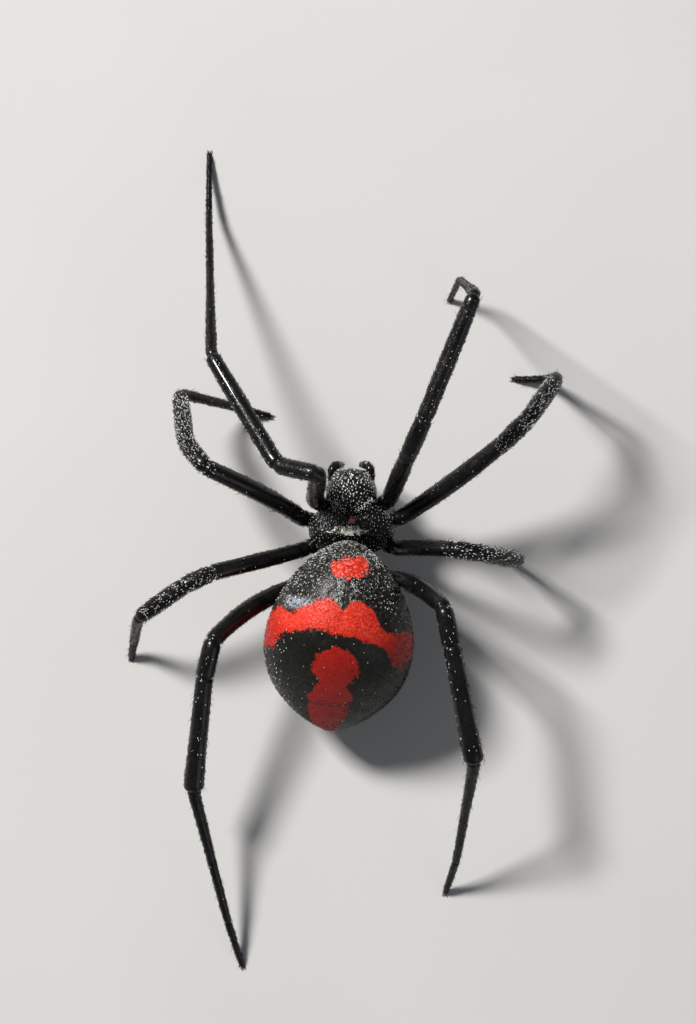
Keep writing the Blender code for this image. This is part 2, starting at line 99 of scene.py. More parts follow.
# %% [markdown]
# Shapes that swell and narrow need a few small functions: one that eases from 0 to 1, one that
# blends, one that rounds an end off, and one that passes through three sizes.

# %% Functions for shapes
def smooth(low, high, value):
    """Goes from 0 at low to 1 at high, level at both."""
    part = min(1.0, max(0.0, (value - low) / (high - low)))
    return part * part * (3.0 - 2.0 * part)


def mix(first, second, part):
    """Blends two numbers or vectors."""
    return first + (second - first) * part


def rounding(distance, reach):
    """Closes a profile: 0 at distance 0, and 1 from the reach on, round in between."""
    part = min(1.0, max(0.0, distance / reach))
    return (1.0 - (1.0 - part) ** 2) ** 0.5


MIDDLE_PART = 0.6


def through(start, middle, end, part):
    """Passes through three sizes, the middle one at MIDDLE_PART."""
    if part < MIDDLE_PART:
        return mix(start, middle, smooth(0.0, MIDDLE_PART, part))
    return mix(middle, end, smooth(MIDDLE_PART, 1.0, part))


def bump_at(distance, reach):
    """A soft round hill: 1 at distance 0 and almost nothing past the reach."""
    return math.exp(-(distance / reach) ** 2)


print("half way through smooth:", smooth(0.0, 1.0, 0.5))

# %% [markdown]
# A material is a small program of nodes. Written out node by node it is hard to read, so `Socket`
# wraps one socket and lets shader maths look like arithmetic: `1 - mask` adds a Math node.
# `Finish` holds one material. Its method `node` adds any other node, from its type, its settings
# and the values or sockets that feed it.

# %% Shader maths
class Socket:
    """One output of a material's nodes."""

    def __init__(self, finish, link):
        self.finish = finish
        self.link = link

    def maths(self, operation, *others):
        """Applies a Math node to this socket."""
        return self.finish.node("Math", {"operation": operation}, [self, *others])

    def __add__(self, other):
        return self.maths("ADD", other)

    __radd__ = __add__

    def __sub__(self, other):
        return self.maths("SUBTRACT", other)

    def __rsub__(self, other):
        return self.finish.node("Math", {"operation": "SUBTRACT"}, [other, self])

    def __mul__(self, other):
        return self.maths("MULTIPLY", other)

    __rmul__ = __mul__

    def __truediv__(self, other):
        return self.maths("DIVIDE", other)

    def absolute(self):
        """The size without its sign."""
        return self.maths("ABSOLUTE")

    def squared(self):
        """Times itself."""
        return self.maths("POWER", 2.0)

    def above(self, edge, blur):
        """A mask: 0 below the edge and 1 above it, blurred over a width."""
        limits = [self, edge - blur / 2, edge + blur / 2, 0.0, 1.0]
        return self.finish.node("MapRange", {"interpolation_type": "SMOOTHSTEP"}, limits)

    def below(self, edge, blur):
        """A mask: 1 below the edge and 0 above it."""
        return 1 - self.above(edge, blur)


class Finish:
    """One material, whose nodes are added one after the other."""

    def __init__(self, name):
        self.material = bpy.data.materials.new(name)
        self.material.use_nodes = True
        self.tree = self.material.node_tree
        self.shader = self.tree.nodes["Principled BSDF"]

    def feed(self, socket, value):
        """Gives a socket a number, a colour, a vector or a link."""
        if isinstance(value, Socket):
            self.tree.links.new(value.link, socket)
        elif isinstance(value, (tuple, list, Vector)):
            wanted = len(socket.default_value)
            socket.default_value = tuple(value) + (1.0,) * (wanted - len(value))
        else:
            socket.default_value = value

    def node(self, kind, settings=None, values=(), output=0):
        """Adds a node of any type and returns one of its outputs."""
        made = self.tree.nodes.new("ShaderNode" + kind)
        for name, setting in (settings or {}).items():
            if name == "stops":
                self.set_stops(made.color_ramp, setting)
            else:
                setattr(made, name, setting)
        pairs = values.items() if isinstance(values, dict) else enumerate(values)
        for key, value in pairs:
            self.feed(made.inputs[key], value)
        return Socket(self, made.outputs[output])

    def set_stops(self, ramp, stops):
        """Gives a ramp its stops: pairs of a place and a grey."""
        ramp.interpolation = "CARDINAL" if len(stops) > 4 else "LINEAR"
        while len(ramp.elements) < len(stops):
            ramp.elements.new(0.5)
        for element, (place, grey) in zip(ramp.elements, stops):
            element.position = place
            element.color = (grey, grey, grey, 1.0)

    def place(self, origin=(0.0, 0.0, 0.0), turn=0.0):
        """Object coordinates in millimetres, from an origin and turned about the vertical."""
        coordinates = self.node("TexCoord", output=3)
        values = {
            "Vector": coordinates, "Location": origin, "Rotation": (0.0, 0.0, turn), "Scale": (MM, MM, MM),
        }
        return self.node("Mapping", {"vector_type": "TEXTURE"}, values)

    def noise(self, vector, scale, detail=2.0):
        """Cloudy noise from 0 to 1."""
        values = {"Vector": vector, "Scale": scale, "Detail": detail, "Roughness": 0.6}
        return self.node("TexNoise", {"noise_dimensions": "3D"}, values)

    def parts(self, vector):
        """The three parts of a vector."""
        return [self.node("SeparateXYZ", None, [vector], k) for k in range(3)]

    def cells(self, vector, scale, output=0):
        """Cells around scattered points: the distance to the nearest, or its own colour."""
        return self.node("TexVoronoi", None, {"Vector": vector, "Scale": scale}, output)

    def blend(self, mask, first, second):
        """Mixes two colours by a mask."""
        return self.node("Mix", {"data_type": "RGBA"}, {0: mask, 6: first, 7: second}, 2)

    def bump(self, height, strength, distance):
        """A normal from a height."""
        values = {"Height": height, "Strength": strength, "Distance": distance * MM}
        return self.node("Bump", None, values)

    def shine(self, **values):
        """Feeds the shader, a socket's name written with _ for a space."""
        for name, value in values.items():
            self.feed(self.shader.inputs[name.replace("_", " ")], value)


print("shader helpers ready")

# %% [markdown]
# The hard shell of head, jaws and legs is black chitin. Close up it isn't smooth: fine grains cover it, and
# each catches the light, so the shell glitters. Painting white dots alone would look flat: here small cells
# give a height for the bump and a different gloss to each grain, and a clear coat lies over them, while a
# few grains are also painted grey as glints, a painted highlight. Behind the head the thorax has a brownish
# pit and, on the slope behind it, a ragged pale band, a painted reflection of light on the smooth slope;
# both are placed by a second set of coordinates with its zero in the pit.

# %% Black shell
SHELL_BLACK = (0.0020, 0.0020, 0.0024)
SHELL_BROWN = (0.0055, 0.005, 0.0045)
GLINT_FLECK_GREY = (0.42, 0.42, 0.38)
PIT = (0.16, -0.42, 4.02)
PIT_RADIUS = 0.40
PIT_BROWN = (0.62, 0.25, 0.19)
REFLECTION_LEFT = 0.08
REFLECTION_BEHIND = 0.47
REFLECTION_OLIVE = (0.16, 0.15, 0.09)
REFLECTION_WHITE = (0.72, 0.80, 0.70)


def shell_finish(name, grain_scale, grain_strength, roughness, glint_fleck_share):
    """Black chitin with grains of a given size, a few painted grey as glints, brown in the pit, and with a
    pale band behind it painted as a reflection.
    """
    finish = Finish(name)
    place = finish.place()
    wavy = finish.node("VectorMath", {"operation": "ADD"}, [place, finish.noise(place, 2.0)])
    grains = finish.cells(wavy, grain_scale)
    patches = finish.noise(place, 1.1, 3.0)
    each = finish.cells(place, grain_scale, output=1)
    chance = finish.node("SeparateColor", None, [each], 0)
    # a few grains are painted grey as glints: a painted highlight
    fleck = chance.above(1.0 - glint_fleck_share, 0.02) * grains.below(0.34, 0.1)
    ground = finish.blend(patches.above(0.52, 0.3), SHELL_BLACK, SHELL_BROWN)
    near = finish.place(at(PIT))
    mottle = finish.noise(place, 6.0, 3.0)
    pit = finish.node("VectorMath", {"operation": "LENGTH"}, [near], 1) + mottle * 0.5
    ground = finish.blend(pit.below(PIT_RADIUS, 0.1), ground, PIT_BROWN)
    aside, ahead, above = finish.parts(near)
    # painted reflection: a ragged pale band of olive and white flakes on the slope behind the pit
    spread = ((aside + REFLECTION_LEFT) * 1.25).squared() + ((ahead + REFLECTION_BEHIND) * 4.6).squared()
    band = (spread + mottle * 5.0 - 2.5).below(0.8, 0.3) * above.above(-0.5, 0.2)
    reflection_flakes = finish.noise(place, 5.0, 2.0).above(0.50, 0.10)
    ground = finish.blend(band, ground, finish.blend(reflection_flakes, REFLECTION_OLIVE, REFLECTION_WHITE))
    height = grains * -1.0 + patches * 0.8
    finish.shine(
        Base_Color=finish.blend(fleck, ground, GLINT_FLECK_GREY),
        Roughness=patches * 0.16 + chance * 0.18 + (roughness - 0.12),
        Coat_Weight=0.3,
        Coat_Roughness=0.06,
        Specular_IOR_Level=0.14,
        Normal=finish.bump(height, grain_strength, 0.05),
    )
    return finish.material


leg_shell = shell_finish("leg_shell", 9.0, grain_strength=0.25, roughness=0.28, glint_fleck_share=0.003)
head_shell = shell_finish("head_shell", 11.0, grain_strength=0.6, roughness=0.18, glint_fleck_share=0.04)
print("shell finishes:", leg_shell.name, head_shell.name)

# %% [markdown]
# The abdomen's colours are drawn in its own plan: `across` runs to its right and `back` from its
# front end, both in millimetres. The real markings are a spot near the front, a sagging band that
# crosses the whole back, and a lobed stripe to the rear end, with an hourglass underneath.
# Ramps hold the two edges of the band and the half width of the stripe, and noise that is added to
# the place makes every edge lumpy. One function paints them, because skin and hairs share them.

# %% Abdomen sizes
ABDOMEN_LENGTH = 9.06
ABDOMEN_HALF_WIDTH = 3.57
ABDOMEN_HALF_HEIGHT = 3.32
ABDOMEN_FRONT = Vector((0.13, -1.34, 5.30))
ABDOMEN_MIDDLE_Z = 4.50
ABDOMEN_REAR_Z = 3.35
ABDOMEN_TURN = math.radians(6.6)
WIDEST_PART = 0.55
WIDTH_FULLNESS = 0.47
HIGHEST_PART = 0.47
HEIGHT_FULLNESS = 0.60
KEEL_TUCK = 0.28
ACROSS = Vector((math.cos(ABDOMEN_TURN), -math.sin(ABDOMEN_TURN), 0.0))
BACK = Vector((-math.sin(ABDOMEN_TURN), -math.cos(ABDOMEN_TURN), 0.0))
print("abdomen:", ABDOMEN_LENGTH, "x", 2 * ABDOMEN_HALF_WIDTH, "mm")

# %% Markings
SPOT_ACROSS, SPOT_BACK = 0.13, 1.27
SPOT_HALF_WIDTH, SPOT_HALF_LENGTH = 0.86, 0.52
SPOT_TILT = 0.15
BAND_RANGE = (2.0, 7.0)
BAND_FRONT_EDGE = (
    (-3.7, 3.75), (-3.28, 3.64), (-2.83, 3.50), (-2.32, 3.66), (-1.85, 3.40), (-1.35, 3.00), (-0.40, 2.88),
    (0.05, 3.28), (0.36, 2.91), (1.00, 2.91), (1.54, 3.26), (1.82, 3.78), (2.08, 4.03), (2.6, 4.00),
    (3.25, 4.00), (3.7, 4.05),
)
BAND_REAR_EDGE = (
    (-3.7, 5.45), (-3.0, 5.25), (-2.6, 4.62), (-1.83, 4.44), (-0.95, 4.34), (-0.15, 4.34), (0.55, 4.42),
    (1.20, 4.52), (1.75, 4.70), (2.28, 4.96), (2.60, 5.52), (2.98, 5.72), (3.36, 5.25), (3.7, 5.20),
)
STRIPE_RANGE = (-1.0, 1.5)
STRIPE_HALF_WIDTH = (
    (4.0, -0.9), (4.95, -0.4), (5.08, 0.40), (5.40, 0.84), (5.75, 1.0), (6.05, 1.10), (6.35, 0.98),
    (6.60, 0.68), (6.80, 0.66), (7.05, 0.86), (7.31, 1.06), (7.7, 0.98), (8.2, 0.88), (8.79, 0.60),
    (9.6, 0.35),
)
STRIPE_MIDDLE, STRIPE_DRIFT = 5.6, -0.07
CREASE_BACK = 7.7
GLASS_BACK, GLASS_HALF_LENGTH = 5.10, 1.25
GLASS_WAIST, GLASS_FLARE = 0.28, 0.75


def edge_ramp(finish, value, points, limits):
    """Reads a curve through points at a value, as a ramp whose grey spans the limits."""
    first, last = points[0][0], points[-1][0]
    low, high = limits
    stops = [((x - first) / (last - first), (y - low) / (high - low)) for x, y in points]
    share = (value - first) / (last - first)
    return finish.node("ValToRGB", {"stops": stops}, [share]) * (high - low) + low


def abdomen_plan(finish):
    """Place on the abdomen, how far across, how far back and how high above its front end."""
    place = finish.place(at(ABDOMEN_FRONT), -ABDOMEN_TURN)
    across, ahead, height = finish.parts(place)
    return place, across, ahead * -1.0, height


def red_mask(finish, place, across, back, height):
    """How red the abdomen is: 1 in the markings and 0 outside them."""
    wobble = finish.noise(place, 1.6, 3.0) * 0.8 - 0.4
    fine = finish.noise(place, 8.0, 2.0) * 0.5 - 0.25
    u = across + wobble * 0.55 + fine
    v = back + wobble + fine
    beyond = (v + u * SPOT_TILT - SPOT_BACK) / SPOT_HALF_LENGTH
    spot = ((u - SPOT_ACROSS) / SPOT_HALF_WIDTH).squared() + beyond.squared()
    spot = spot.below(1.0, 0.35) * height.above(0.2, 0.5)
    front = v - edge_ramp(finish, u, BAND_FRONT_EDGE, BAND_RANGE)
    rear = edge_ramp(finish, u, BAND_REAR_EDGE, BAND_RANGE) - v
    band = front.maths("MINIMUM", rear).above(0.0, 0.16)
    half = edge_ramp(finish, v, STRIPE_HALF_WIDTH, STRIPE_RANGE)
    drift = (v - STRIPE_MIDDLE) * STRIPE_DRIFT
    stripe = (half - (u - drift).absolute()).above(0.0, 0.12)
    stripe = stripe * (1 - (v - CREASE_BACK).absolute().below(0.05, 0.08) * 0.75)
    on_top = spot.maths("MAXIMUM", band).maths("MAXIMUM", stripe) * height.above(-2.1, 0.8)
    off = (back - GLASS_BACK).absolute() / GLASS_HALF_LENGTH
    glass = (off * GLASS_FLARE + GLASS_WAIST - (across + fine).absolute()).above(0.0, 0.1)
    return on_top.maths("MAXIMUM", glass * off.below(1.0, 0.1) * height.below(-2.8, 0.5))


print("markings:", len(BAND_FRONT_EDGE) + len(BAND_REAR_EDGE), "points on the band's edges")

# %% [markdown]
# The abdomen's skin is soft and leathery, black with a brown cast, and greyer in its front third, where
# short pale hairs are dense. A bare black line runs along the middle before the band, pale on both sides,
# and the band's left corner has a bluish edge. Light and shade are painted into the red: it is painted
# brighter on top, as lit, and darker to the sides and towards the rear, as shaded, and pinkish specks on the
# front spot and the band are painted glints. Fine pleats run over the bump, and the gloss is satin where the
# shell's is bright.

# %% Abdomen skin
LINE_ACROSS = 0.09
CORNER_ACROSS = -2.1
SKIN_BLACK, SKIN_BROWN = (0.003, 0.003, 0.0028), (0.011, 0.0105, 0.0070)
SKIN_GREY, SKIN_BLUE = (0.42, 0.43, 0.42), (0.40, 0.45, 0.52)
# painted light and shade: lit reds for the top, shaded reds for the sides and rear
LIT_TOP_REDS = ((0.38, 0.009, 0.006), (0.62, 0.036, 0.012))
SHADED_SIDE_RED, SHADED_REAR_RED, DARK_RED = (0.24, 0.006, 0.004), (0.22, 0.006, 0.006), (0.10, 0.004, 0.003)
GLINT_PINK = (0.70, 0.24, 0.20)


def abdomen_colour(finish, pale_share):
    """The abdomen's colour, its red mask, the place and the patches."""
    place, across, back, height = abdomen_plan(finish)
    red = red_mask(finish, place, across, back, height)
    patches = finish.noise(place, 1.3, 3.0)
    speck = finish.noise(place, 7.0, 2.0)
    front = back.below(3.4, 2.6) * height.above(-3.6, 3.0)
    flank = (across - LINE_ACROSS).absolute()
    line = flank.below(0.17, 0.14) * back.above(1.8, 0.3) * back.below(3.5, 0.4)
    beside = flank.below(0.48, 0.2) * back.above(1.7, 0.4) * back.below(3.2, 0.5) * (1 - line)
    corner = (across - CORNER_ACROSS).absolute().below(0.6, 0.4) * (back - 3.16).absolute().below(0.26, 0.3)
    pale = (front * 0.25 + beside * 0.7) * speck.above(0.57, 0.1)
    black = finish.blend(patches, SKIN_BLACK, SKIN_BROWN)
    black = finish.blend(pale * pale_share, black, SKIN_GREY)
    black = finish.blend(corner * speck.above(0.44, 0.2) * pale_share, black, SKIN_BLUE)
    # painted light and shade: lit red on top, shaded red lower on the sides
    crimson = finish.blend(height.above(-0.4, 4.0), SHADED_SIDE_RED, finish.blend(patches, *LIT_TOP_REDS))
    # painted shade: the red darkens towards the rear
    crimson = finish.blend(back.above(4.6, 1.8) * 0.7, crimson, SHADED_REAR_RED)
    crimson = finish.blend(speck.above(0.62, 0.08) * 0.35, crimson, DARK_RED)
    # painted glints: pinkish specks on the front spot and the front of the band
    grains = speck.below(0.43, 0.08) * (back.below(2.2, 0.5) * 0.35 + back.below(4.2, 1.0) * 0.15)
    crimson = finish.blend(grains, crimson, GLINT_PINK)
    return finish.blend(red, black, crimson), red, place, patches


def skin_finish():
    """The abdomen's skin."""
    finish = Finish("abdomen_skin")
    colour, red, place, patches = abdomen_colour(finish, 0.5)
    pleats = finish.noise(place, 7.0, 4.0)
    pores = finish.cells(place, 10.0)
    height = pleats * 0.9 + pores * 0.6
    finish.shine(
        Base_Color=colour,
        Roughness=patches * 0.16 + red * 0.06 + 0.26,
        Specular_IOR_Level=0.2,
        Coat_Weight=0.06,
        Coat_Roughness=0.22,
        Normal=finish.bump(height, 0.55, 0.05),
    )
    return finish.material


abdomen_skin = skin_finish()
print("abdomen finish:", abdomen_skin.name, len(abdomen_skin.node_tree.nodes), "nodes")

# %% [markdown]
# Hairs carry the colour of what they grow on. Each has a number of its own, `tint`, from 0 for the darkest
# to 1 for the palest, stored on the mesh. The pale ones are partly pale hairs and partly painted glints:
# their white stands for light sparkling on glossy bristles. On the abdomen the markings colour them too.

# %% Hair finishes
HAIR_GLINT_PINK = (0.85, 0.50, 0.40)


def hair_finish(name, dark, pale, on_abdomen=False):
    """Bristles that go from dark and dull to pale and glossy by their own tint; the pale colour is partly
    the bristles' own and partly a painted glint.
    """
    finish = Finish(name)
    tint = finish.node("Attribute", {"attribute_name": "tint"}, output=2)
    ground = finish.blend(tint, dark, pale)
    if on_abdomen:
        colour, red, _, _ = abdomen_colour(finish, 1.0)
        # pale bristles on the red are painted pink as glints
        red_with_glints = finish.blend(tint.above(0.75, 0.3) * 0.7, colour, HAIR_GLINT_PINK)
        ground = finish.blend(red, ground, red_with_glints)
    finish.shine(
        Base_Color=ground,
        Roughness=tint * -0.1 + 0.55,
        Specular_IOR_Level=0.08,
        Coat_Weight=tint * 0.8,
        Coat_Roughness=0.15,
    )
    return finish.material


leg_hair = hair_finish("leg_hair", (0.003, 0.0028, 0.0025), (0.86, 0.87, 0.84))
body_hair = hair_finish("body_hair", (0.004, 0.004, 0.0035), (0.84, 0.86, 0.82), True)
print("hair finishes:", leg_hair.name, body_hair.name)

# %% Eyes, fangs and claws
def glass_finish(name, inner, outer, roughness):
    """A hard glossy finish that goes from one colour to another in soft patches."""
    finish = Finish(name)
    place = finish.place()
    patches = finish.noise(place, 6.0, 2.0)
    finish.shine(
        Base_Color=finish.blend(patches, inner, outer),
        Roughness=patches * 0.06 + roughness,
        Coat_Weight=0.8,
        Coat_Roughness=0.03,
        Normal=finish.bump(finish.noise(place, 20.0), 0.05, 0.02),
    )
    return finish.material


eye_glass = glass_finish("eye_glass", (0.004, 0.004, 0.005), (0.020, 0.016, 0.014), 0.04)
# pale grey partly the eyes' own pearly mirror and partly a painted reflection
eye_pearl_and_glint = glass_finish("eye_pearl_and_glint", (0.05, 0.055, 0.06), (0.24, 0.27, 0.27), 0.05)
fang_horn = glass_finish("fang_horn", (0.030, 0.008, 0.004), (0.090, 0.022, 0.008), 0.16)
claw_horn = glass_finish("claw_horn", (0.008, 0.005, 0.004), (0.030, 0.014, 0.008), 0.22)
print("glossy finishes:", eye_glass.name, eye_pearl_and_glint.name, fang_horn.name, claw_horn.name)

# %% [markdown]
# Most of a spider is tubes and rounded shells. Two ways make them here.
# A limb starts as a flat disc that is drawn out by extruding and resizing it, station by station,
# while it is straight. A Curve modifier then bends it along its guide. Modelled bent, each ring
# would have to be turned by hand.
# A rounded shell starts as a sphere whose rows and columns give every point a place along it and an
# angle around it, and a shape function moves each point where it belongs.

# %% Tools for tubes and shells
def only(piece):
    """Deselects everything but one piece and makes it active."""
    bpy.ops.object.select_all(action="DESELECT")
    piece.select_set(True)
    bpy.context.view_layer.objects.active = piece


def finish_piece(name, piece, material, levels=0):
    """Smooths, names and paints a piece, and lets it ride on the body."""
    only(piece)
    if levels:
        modifier = piece.modifiers.new("smoothing", "SUBSURF")
        modifier.levels = modifier.render_levels = levels
        bpy.ops.object.modifier_apply(modifier=modifier.name)
    bpy.ops.object.shade_smooth()
    piece.name = name
    piece.data.name = name
    piece.data.materials.clear()
    piece.data.materials.append(material)
    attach(piece, "root")
    return piece


def drawn_tube(stations, sides):
    """Draws a disc out along +X through stations of a distance and a radius, in millimetres."""
    x, radius = stations[0]
    bpy.ops.object.select_all(action="DESELECT")
    bpy.ops.mesh.primitive_circle_add(
        vertices=sides, radius=radius * MM, fill_type="NGON", location=(x * MM, 0, 0),
        rotation=(0, math.pi / 2, 0),
    )
    piece = bpy.context.object
    bpy.ops.object.transform_apply(location=True, rotation=True, scale=True)
    bpy.ops.object.mode_set(mode="EDIT")
    for next_x, next_radius in stations[1:]:
        step = ((next_x - x) * MM, 0, 0)
        bpy.ops.mesh.extrude_region_move(TRANSFORM_OT_translate={"value": step})
        share = next_radius / radius
        bpy.ops.transform.resize(value=(1, share, share), center_override=(next_x * MM, 0, 0))
        x, radius = next_x, next_radius
    bpy.ops.mesh.select_all(action="SELECT")
    bpy.ops.mesh.normals_make_consistent(inside=False)
    bpy.ops.object.mode_set(mode="OBJECT")
    return piece


def guide_curve(points):
    """A curve through points, in the body's millimetres, for a limb to bend along."""
    data = bpy.data.curves.new("guide", "CURVE")
    data.dimensions = "3D"
    spline = data.splines.new("POLY")
    spline.points.add(len(points) - 1)
    for corner, point in zip(spline.points, points):
        corner.co = (*at(point), 1.0)
    guide = bpy.data.objects.new("guide", data)
    bpy.context.scene.collection.objects.link(guide)
    return guide


def bend_along(piece, guide):
    """Bends a straight piece along a guide."""
    only(piece)
    modifier = piece.modifiers.new("bend", "CURVE")
    modifier.object = guide
    modifier.deform_axis = "POS_X"
    bpy.ops.object.modifier_apply(modifier=modifier.name)


def limb(name, stations, sides, guide, material, levels=2):
    """Draws a straight limb, finishes it and bends it along its guide."""
    piece = finish_piece(name, drawn_tube(stations, sides), material, levels)
    bend_along(piece, guide)
    return piece


def rounded_shell(rows, sides, surface):
    """A sphere whose points are moved to surface(part, angle), in the body's millimetres."""
    bpy.ops.object.select_all(action="DESELECT")
    bpy.ops.mesh.primitive_uv_sphere_add(
        segments=sides, ring_count=rows, radius=1.0, location=(0, 0, 0), rotation=(-math.pi / 2, 0, 0),
    )
    piece = bpy.context.object
    bpy.ops.object.transform_apply(location=True, rotation=True, scale=True)
    for vertex in piece.data.vertices:
        x, y, z = vertex.co
        part = math.acos(max(-1.0, min(1.0, -y))) / math.pi
        vertex.co = at(surface(part, math.atan2(z, x)))
    bpy.ops.object.mode_set(mode="EDIT")
    bpy.ops.mesh.select_all(action="SELECT")
    bpy.ops.mesh.normals_make_consistent(inside=False)
    bpy.ops.object.mode_set(mode="OBJECT")
    return piece


print("tools ready")

# %% [markdown]
# The abdomen is an egg that is widest behind its middle and tucked in below, over the legs. Its
# section is narrower near the front, and its middle line sinks to the rear. Four shallow dimples
# on its back mark where muscles are fixed inside, and below there are two smooth lung covers
# with a furrow behind them.

# %% Abdomen
def egg(part, peak, fullness):
    """An egg's profile: 0 at both ends and 1 at its peak."""
    place = max(0.0, part) ** (math.log(0.5) / math.log(peak))
    return max(0.0, math.sin(math.pi * min(1.0, place))) ** (fullness + 0.16 * part ** 3)


def abdomen_centre(part):
    """The middle of the abdomen at a place along it."""
    centre = ABDOMEN_FRONT + BACK * ABDOMEN_LENGTH * part
    centre.z = mix(ABDOMEN_FRONT.z, ABDOMEN_MIDDLE_Z, smooth(0.0, 0.5, part))
    centre.z = mix(centre.z, ABDOMEN_REAR_Z, smooth(0.45, 1.0, part))
    return centre


DIMPLES = ((0.62, 2.55, 0.16), (0.74, 4.75, 0.20))
COAT_DEPTH = 0.06


def abdomen_relief(across, back, above):
    """How far the skin rises or sinks at a place: dimples, furrow and lung covers."""
    relief = 0.0
    if above:
        for aside, along, wide in DIMPLES:
            relief -= 0.07 * bump_at(math.hypot(abs(across) - aside, back - along), wide)
        relief -= 0.035 * bump_at(across, 0.12) * smooth(1.6, 2.2, back) * smooth(4.6, 3.4, back)
        relief += 0.012 * math.sin(back * 9.0 + math.cos(across * 1.7) * 2.0) * smooth(6.4, 8.4, back)
    else:
        relief -= 0.10 * bump_at(back - 2.75, 0.14) * smooth(1.9, 1.2, abs(across))
        relief += 0.06 * bump_at(math.hypot(abs(across) - 0.95, (back - 2.1) * 1.2), 0.55)
    return relief


def abdomen_surface(part, angle):
    """A point of the abdomen's skin."""
    place = 0.5 - 0.5 * math.cos(math.pi * part)
    centre = abdomen_centre(place)
    wide = ABDOMEN_HALF_WIDTH * egg(place, WIDEST_PART, WIDTH_FULLNESS)
    high = ABDOMEN_HALF_HEIGHT * egg(place, HIGHEST_PART, HEIGHT_FULLNESS)
    cosine, sine = math.cos(angle), math.sin(angle)
    tuck = 1.0 - KEEL_TUCK * max(0.0, -sine) * smooth(0.5, 0.2, place)
    relief = abdomen_relief(wide * cosine, place * ABDOMEN_LENGTH, sine > 0) * abs(sine) - COAT_DEPTH
    shrink = max(0.0, min(1.0, wide / 0.5))
    wide += relief * shrink
    high += relief * shrink
    return centre + ACROSS * wide * tuck * cosine + Vector((0.0, 0.0, high * sine))


def flipped(surface):
    """Runs a shape function from front to rear instead, because the sphere's rows start there."""
    return lambda part, angle: surface(1.0 - part, angle)


ABDOMEN_ROWS, ABDOMEN_SIDES = 96, 112
abdomen = rounded_shell(ABDOMEN_ROWS, ABDOMEN_SIDES, flipped(abdomen_surface))
finish_piece("abdomen_globe", abdomen, abdomen_skin, 1)
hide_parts("abdomen")
print("abdomen:", len(abdomen.data.polygons), "faces")

# %% [markdown]
# Carapace and head are one shell. It is low behind, has a pit in its middle from which grooves
# run to the leg bases, and rises to the blunt head. A raised rim follows its edge, and each eye
# sits on a low mound. The ends are closed by caps that bulge a little.

# %% Carapace shape
CARAPACE_LENGTH = 3.95
MARGIN_Z = 3.30
THORAX_HALF_WIDTH = 2.00
HEAD_HALF_WIDTH = 1.17
CLYPEUS_HALF_WIDTH = 0.84
HEAD_HEIGHT = 1.36
THORAX_HEIGHT = 1.02
SADDLE_HEIGHT = 0.90
REAR_HEIGHT = 0.42
CARAPACE_DEPTH = 0.12
FOVEA_Y = -0.42
FOVEA_RADIUS = 0.34
FOVEA_DEPTH = 0.20
GROOVE_WIDTH = 0.13
GROOVE_DEPTH = 0.09
GROOVE_HEADINGS = (38, 142, 200, 340, 245, 295)


def carapace_half_width(part):
    """Half width of the carapace, from its rear at 0 to the front of the head at 1."""
    body = mix(THORAX_HALF_WIDTH, HEAD_HALF_WIDTH, smooth(0.34, 0.66, part))
    body = mix(body, CLYPEUS_HALF_WIDTH, smooth(0.76, 0.97, part))
    return body * mix(0.30, 1.0, rounding(part, 0.26)) * mix(0.45, 1.0, rounding(1.0 - part, 0.07))


def carapace_top(part):
    """Height of the carapace above its margin along the middle."""
    height = mix(REAR_HEIGHT, THORAX_HEIGHT, smooth(0.02, 0.24, part))
    height = mix(height, SADDLE_HEIGHT, smooth(0.24, 0.40, part))
    height = mix(height, HEAD_HEIGHT, smooth(0.42, 0.70, part))
    height = mix(height, 0.80, smooth(0.78, 1.0, part))
    return height * mix(0.25, 1.0, rounding(part, 0.08)) * mix(0.60, 1.0, rounding(1.0 - part, 0.09))


def groove(x, y):
    """Depth of the pit behind the head and of the grooves that spread from it."""
    depth = FOVEA_DEPTH * bump_at(math.hypot(x, y - FOVEA_Y), FOVEA_RADIUS)
    for heading in GROOVE_HEADINGS:
        turn = math.radians(heading)
        along = x * math.cos(turn) + (y - FOVEA_Y) * math.sin(turn)
        off = x * math.sin(turn) - (y - FOVEA_Y) * math.cos(turn)
        fade = smooth(0.05, 0.30, along) * (1.0 - smooth(0.80, 1.50, along))
        depth += GROOVE_DEPTH * fade * bump_at(off, GROOVE_WIDTH)
    return depth


def carapace_surface(part, angle):
    """A point of the carapace."""
    cosine, sine = math.cos(angle), math.sin(angle)
    x = carapace_half_width(part) * math.copysign(abs(cosine) ** 0.86, cosine)
    y = HEAD_Y - CARAPACE_LENGTH * (1.0 - part)
    rise = carapace_top(part) * abs(sine) ** 0.92 if sine > 0 else -CARAPACE_DEPTH * abs(sine) ** 0.9
    z = MARGIN_Z + rise
    if sine > 0.05:
        z -= groove(x, y) * min(1.0, sine * 2.0)
    return Vector((BODY_X + x, y, z))


print("head height:", round(carapace_top(0.75), 2), "mm above the margin")

# %% Eyes: where they sit
EYE_RADIUS = 0.105
EYE_SINK = 0.45
EYES = {
    "eye_front_middle": (0.958, 72, 1.00),
    "eye_front_side": (0.944, 46, 0.90),
    "eye_rear_middle": (0.896, 76, 0.95),
    "eye_rear_side": (0.908, 49, 0.90),
}


def eye_places():
    """Each eye's name, centre, outward direction and radius."""
    places = []
    for name, (part, angle, size) in EYES.items():
        for side, sign in SIDES.items():
            turn = math.radians(angle if sign > 0 else 180 - angle)
            here = carapace_surface(part, turn)
            around = carapace_surface(part, turn + 0.05) - here
            along = carapace_surface(part + 0.005, turn) - here
            normal = along.cross(around).normalized()
            if normal.z < 0:
                normal = -normal
            radius = EYE_RADIUS * size
            places.append((name + "_" + side, here - normal * radius * EYE_SINK, normal, radius))
    return places


EYE_PLACES = eye_places()
print("eyes:", len(EYE_PLACES))

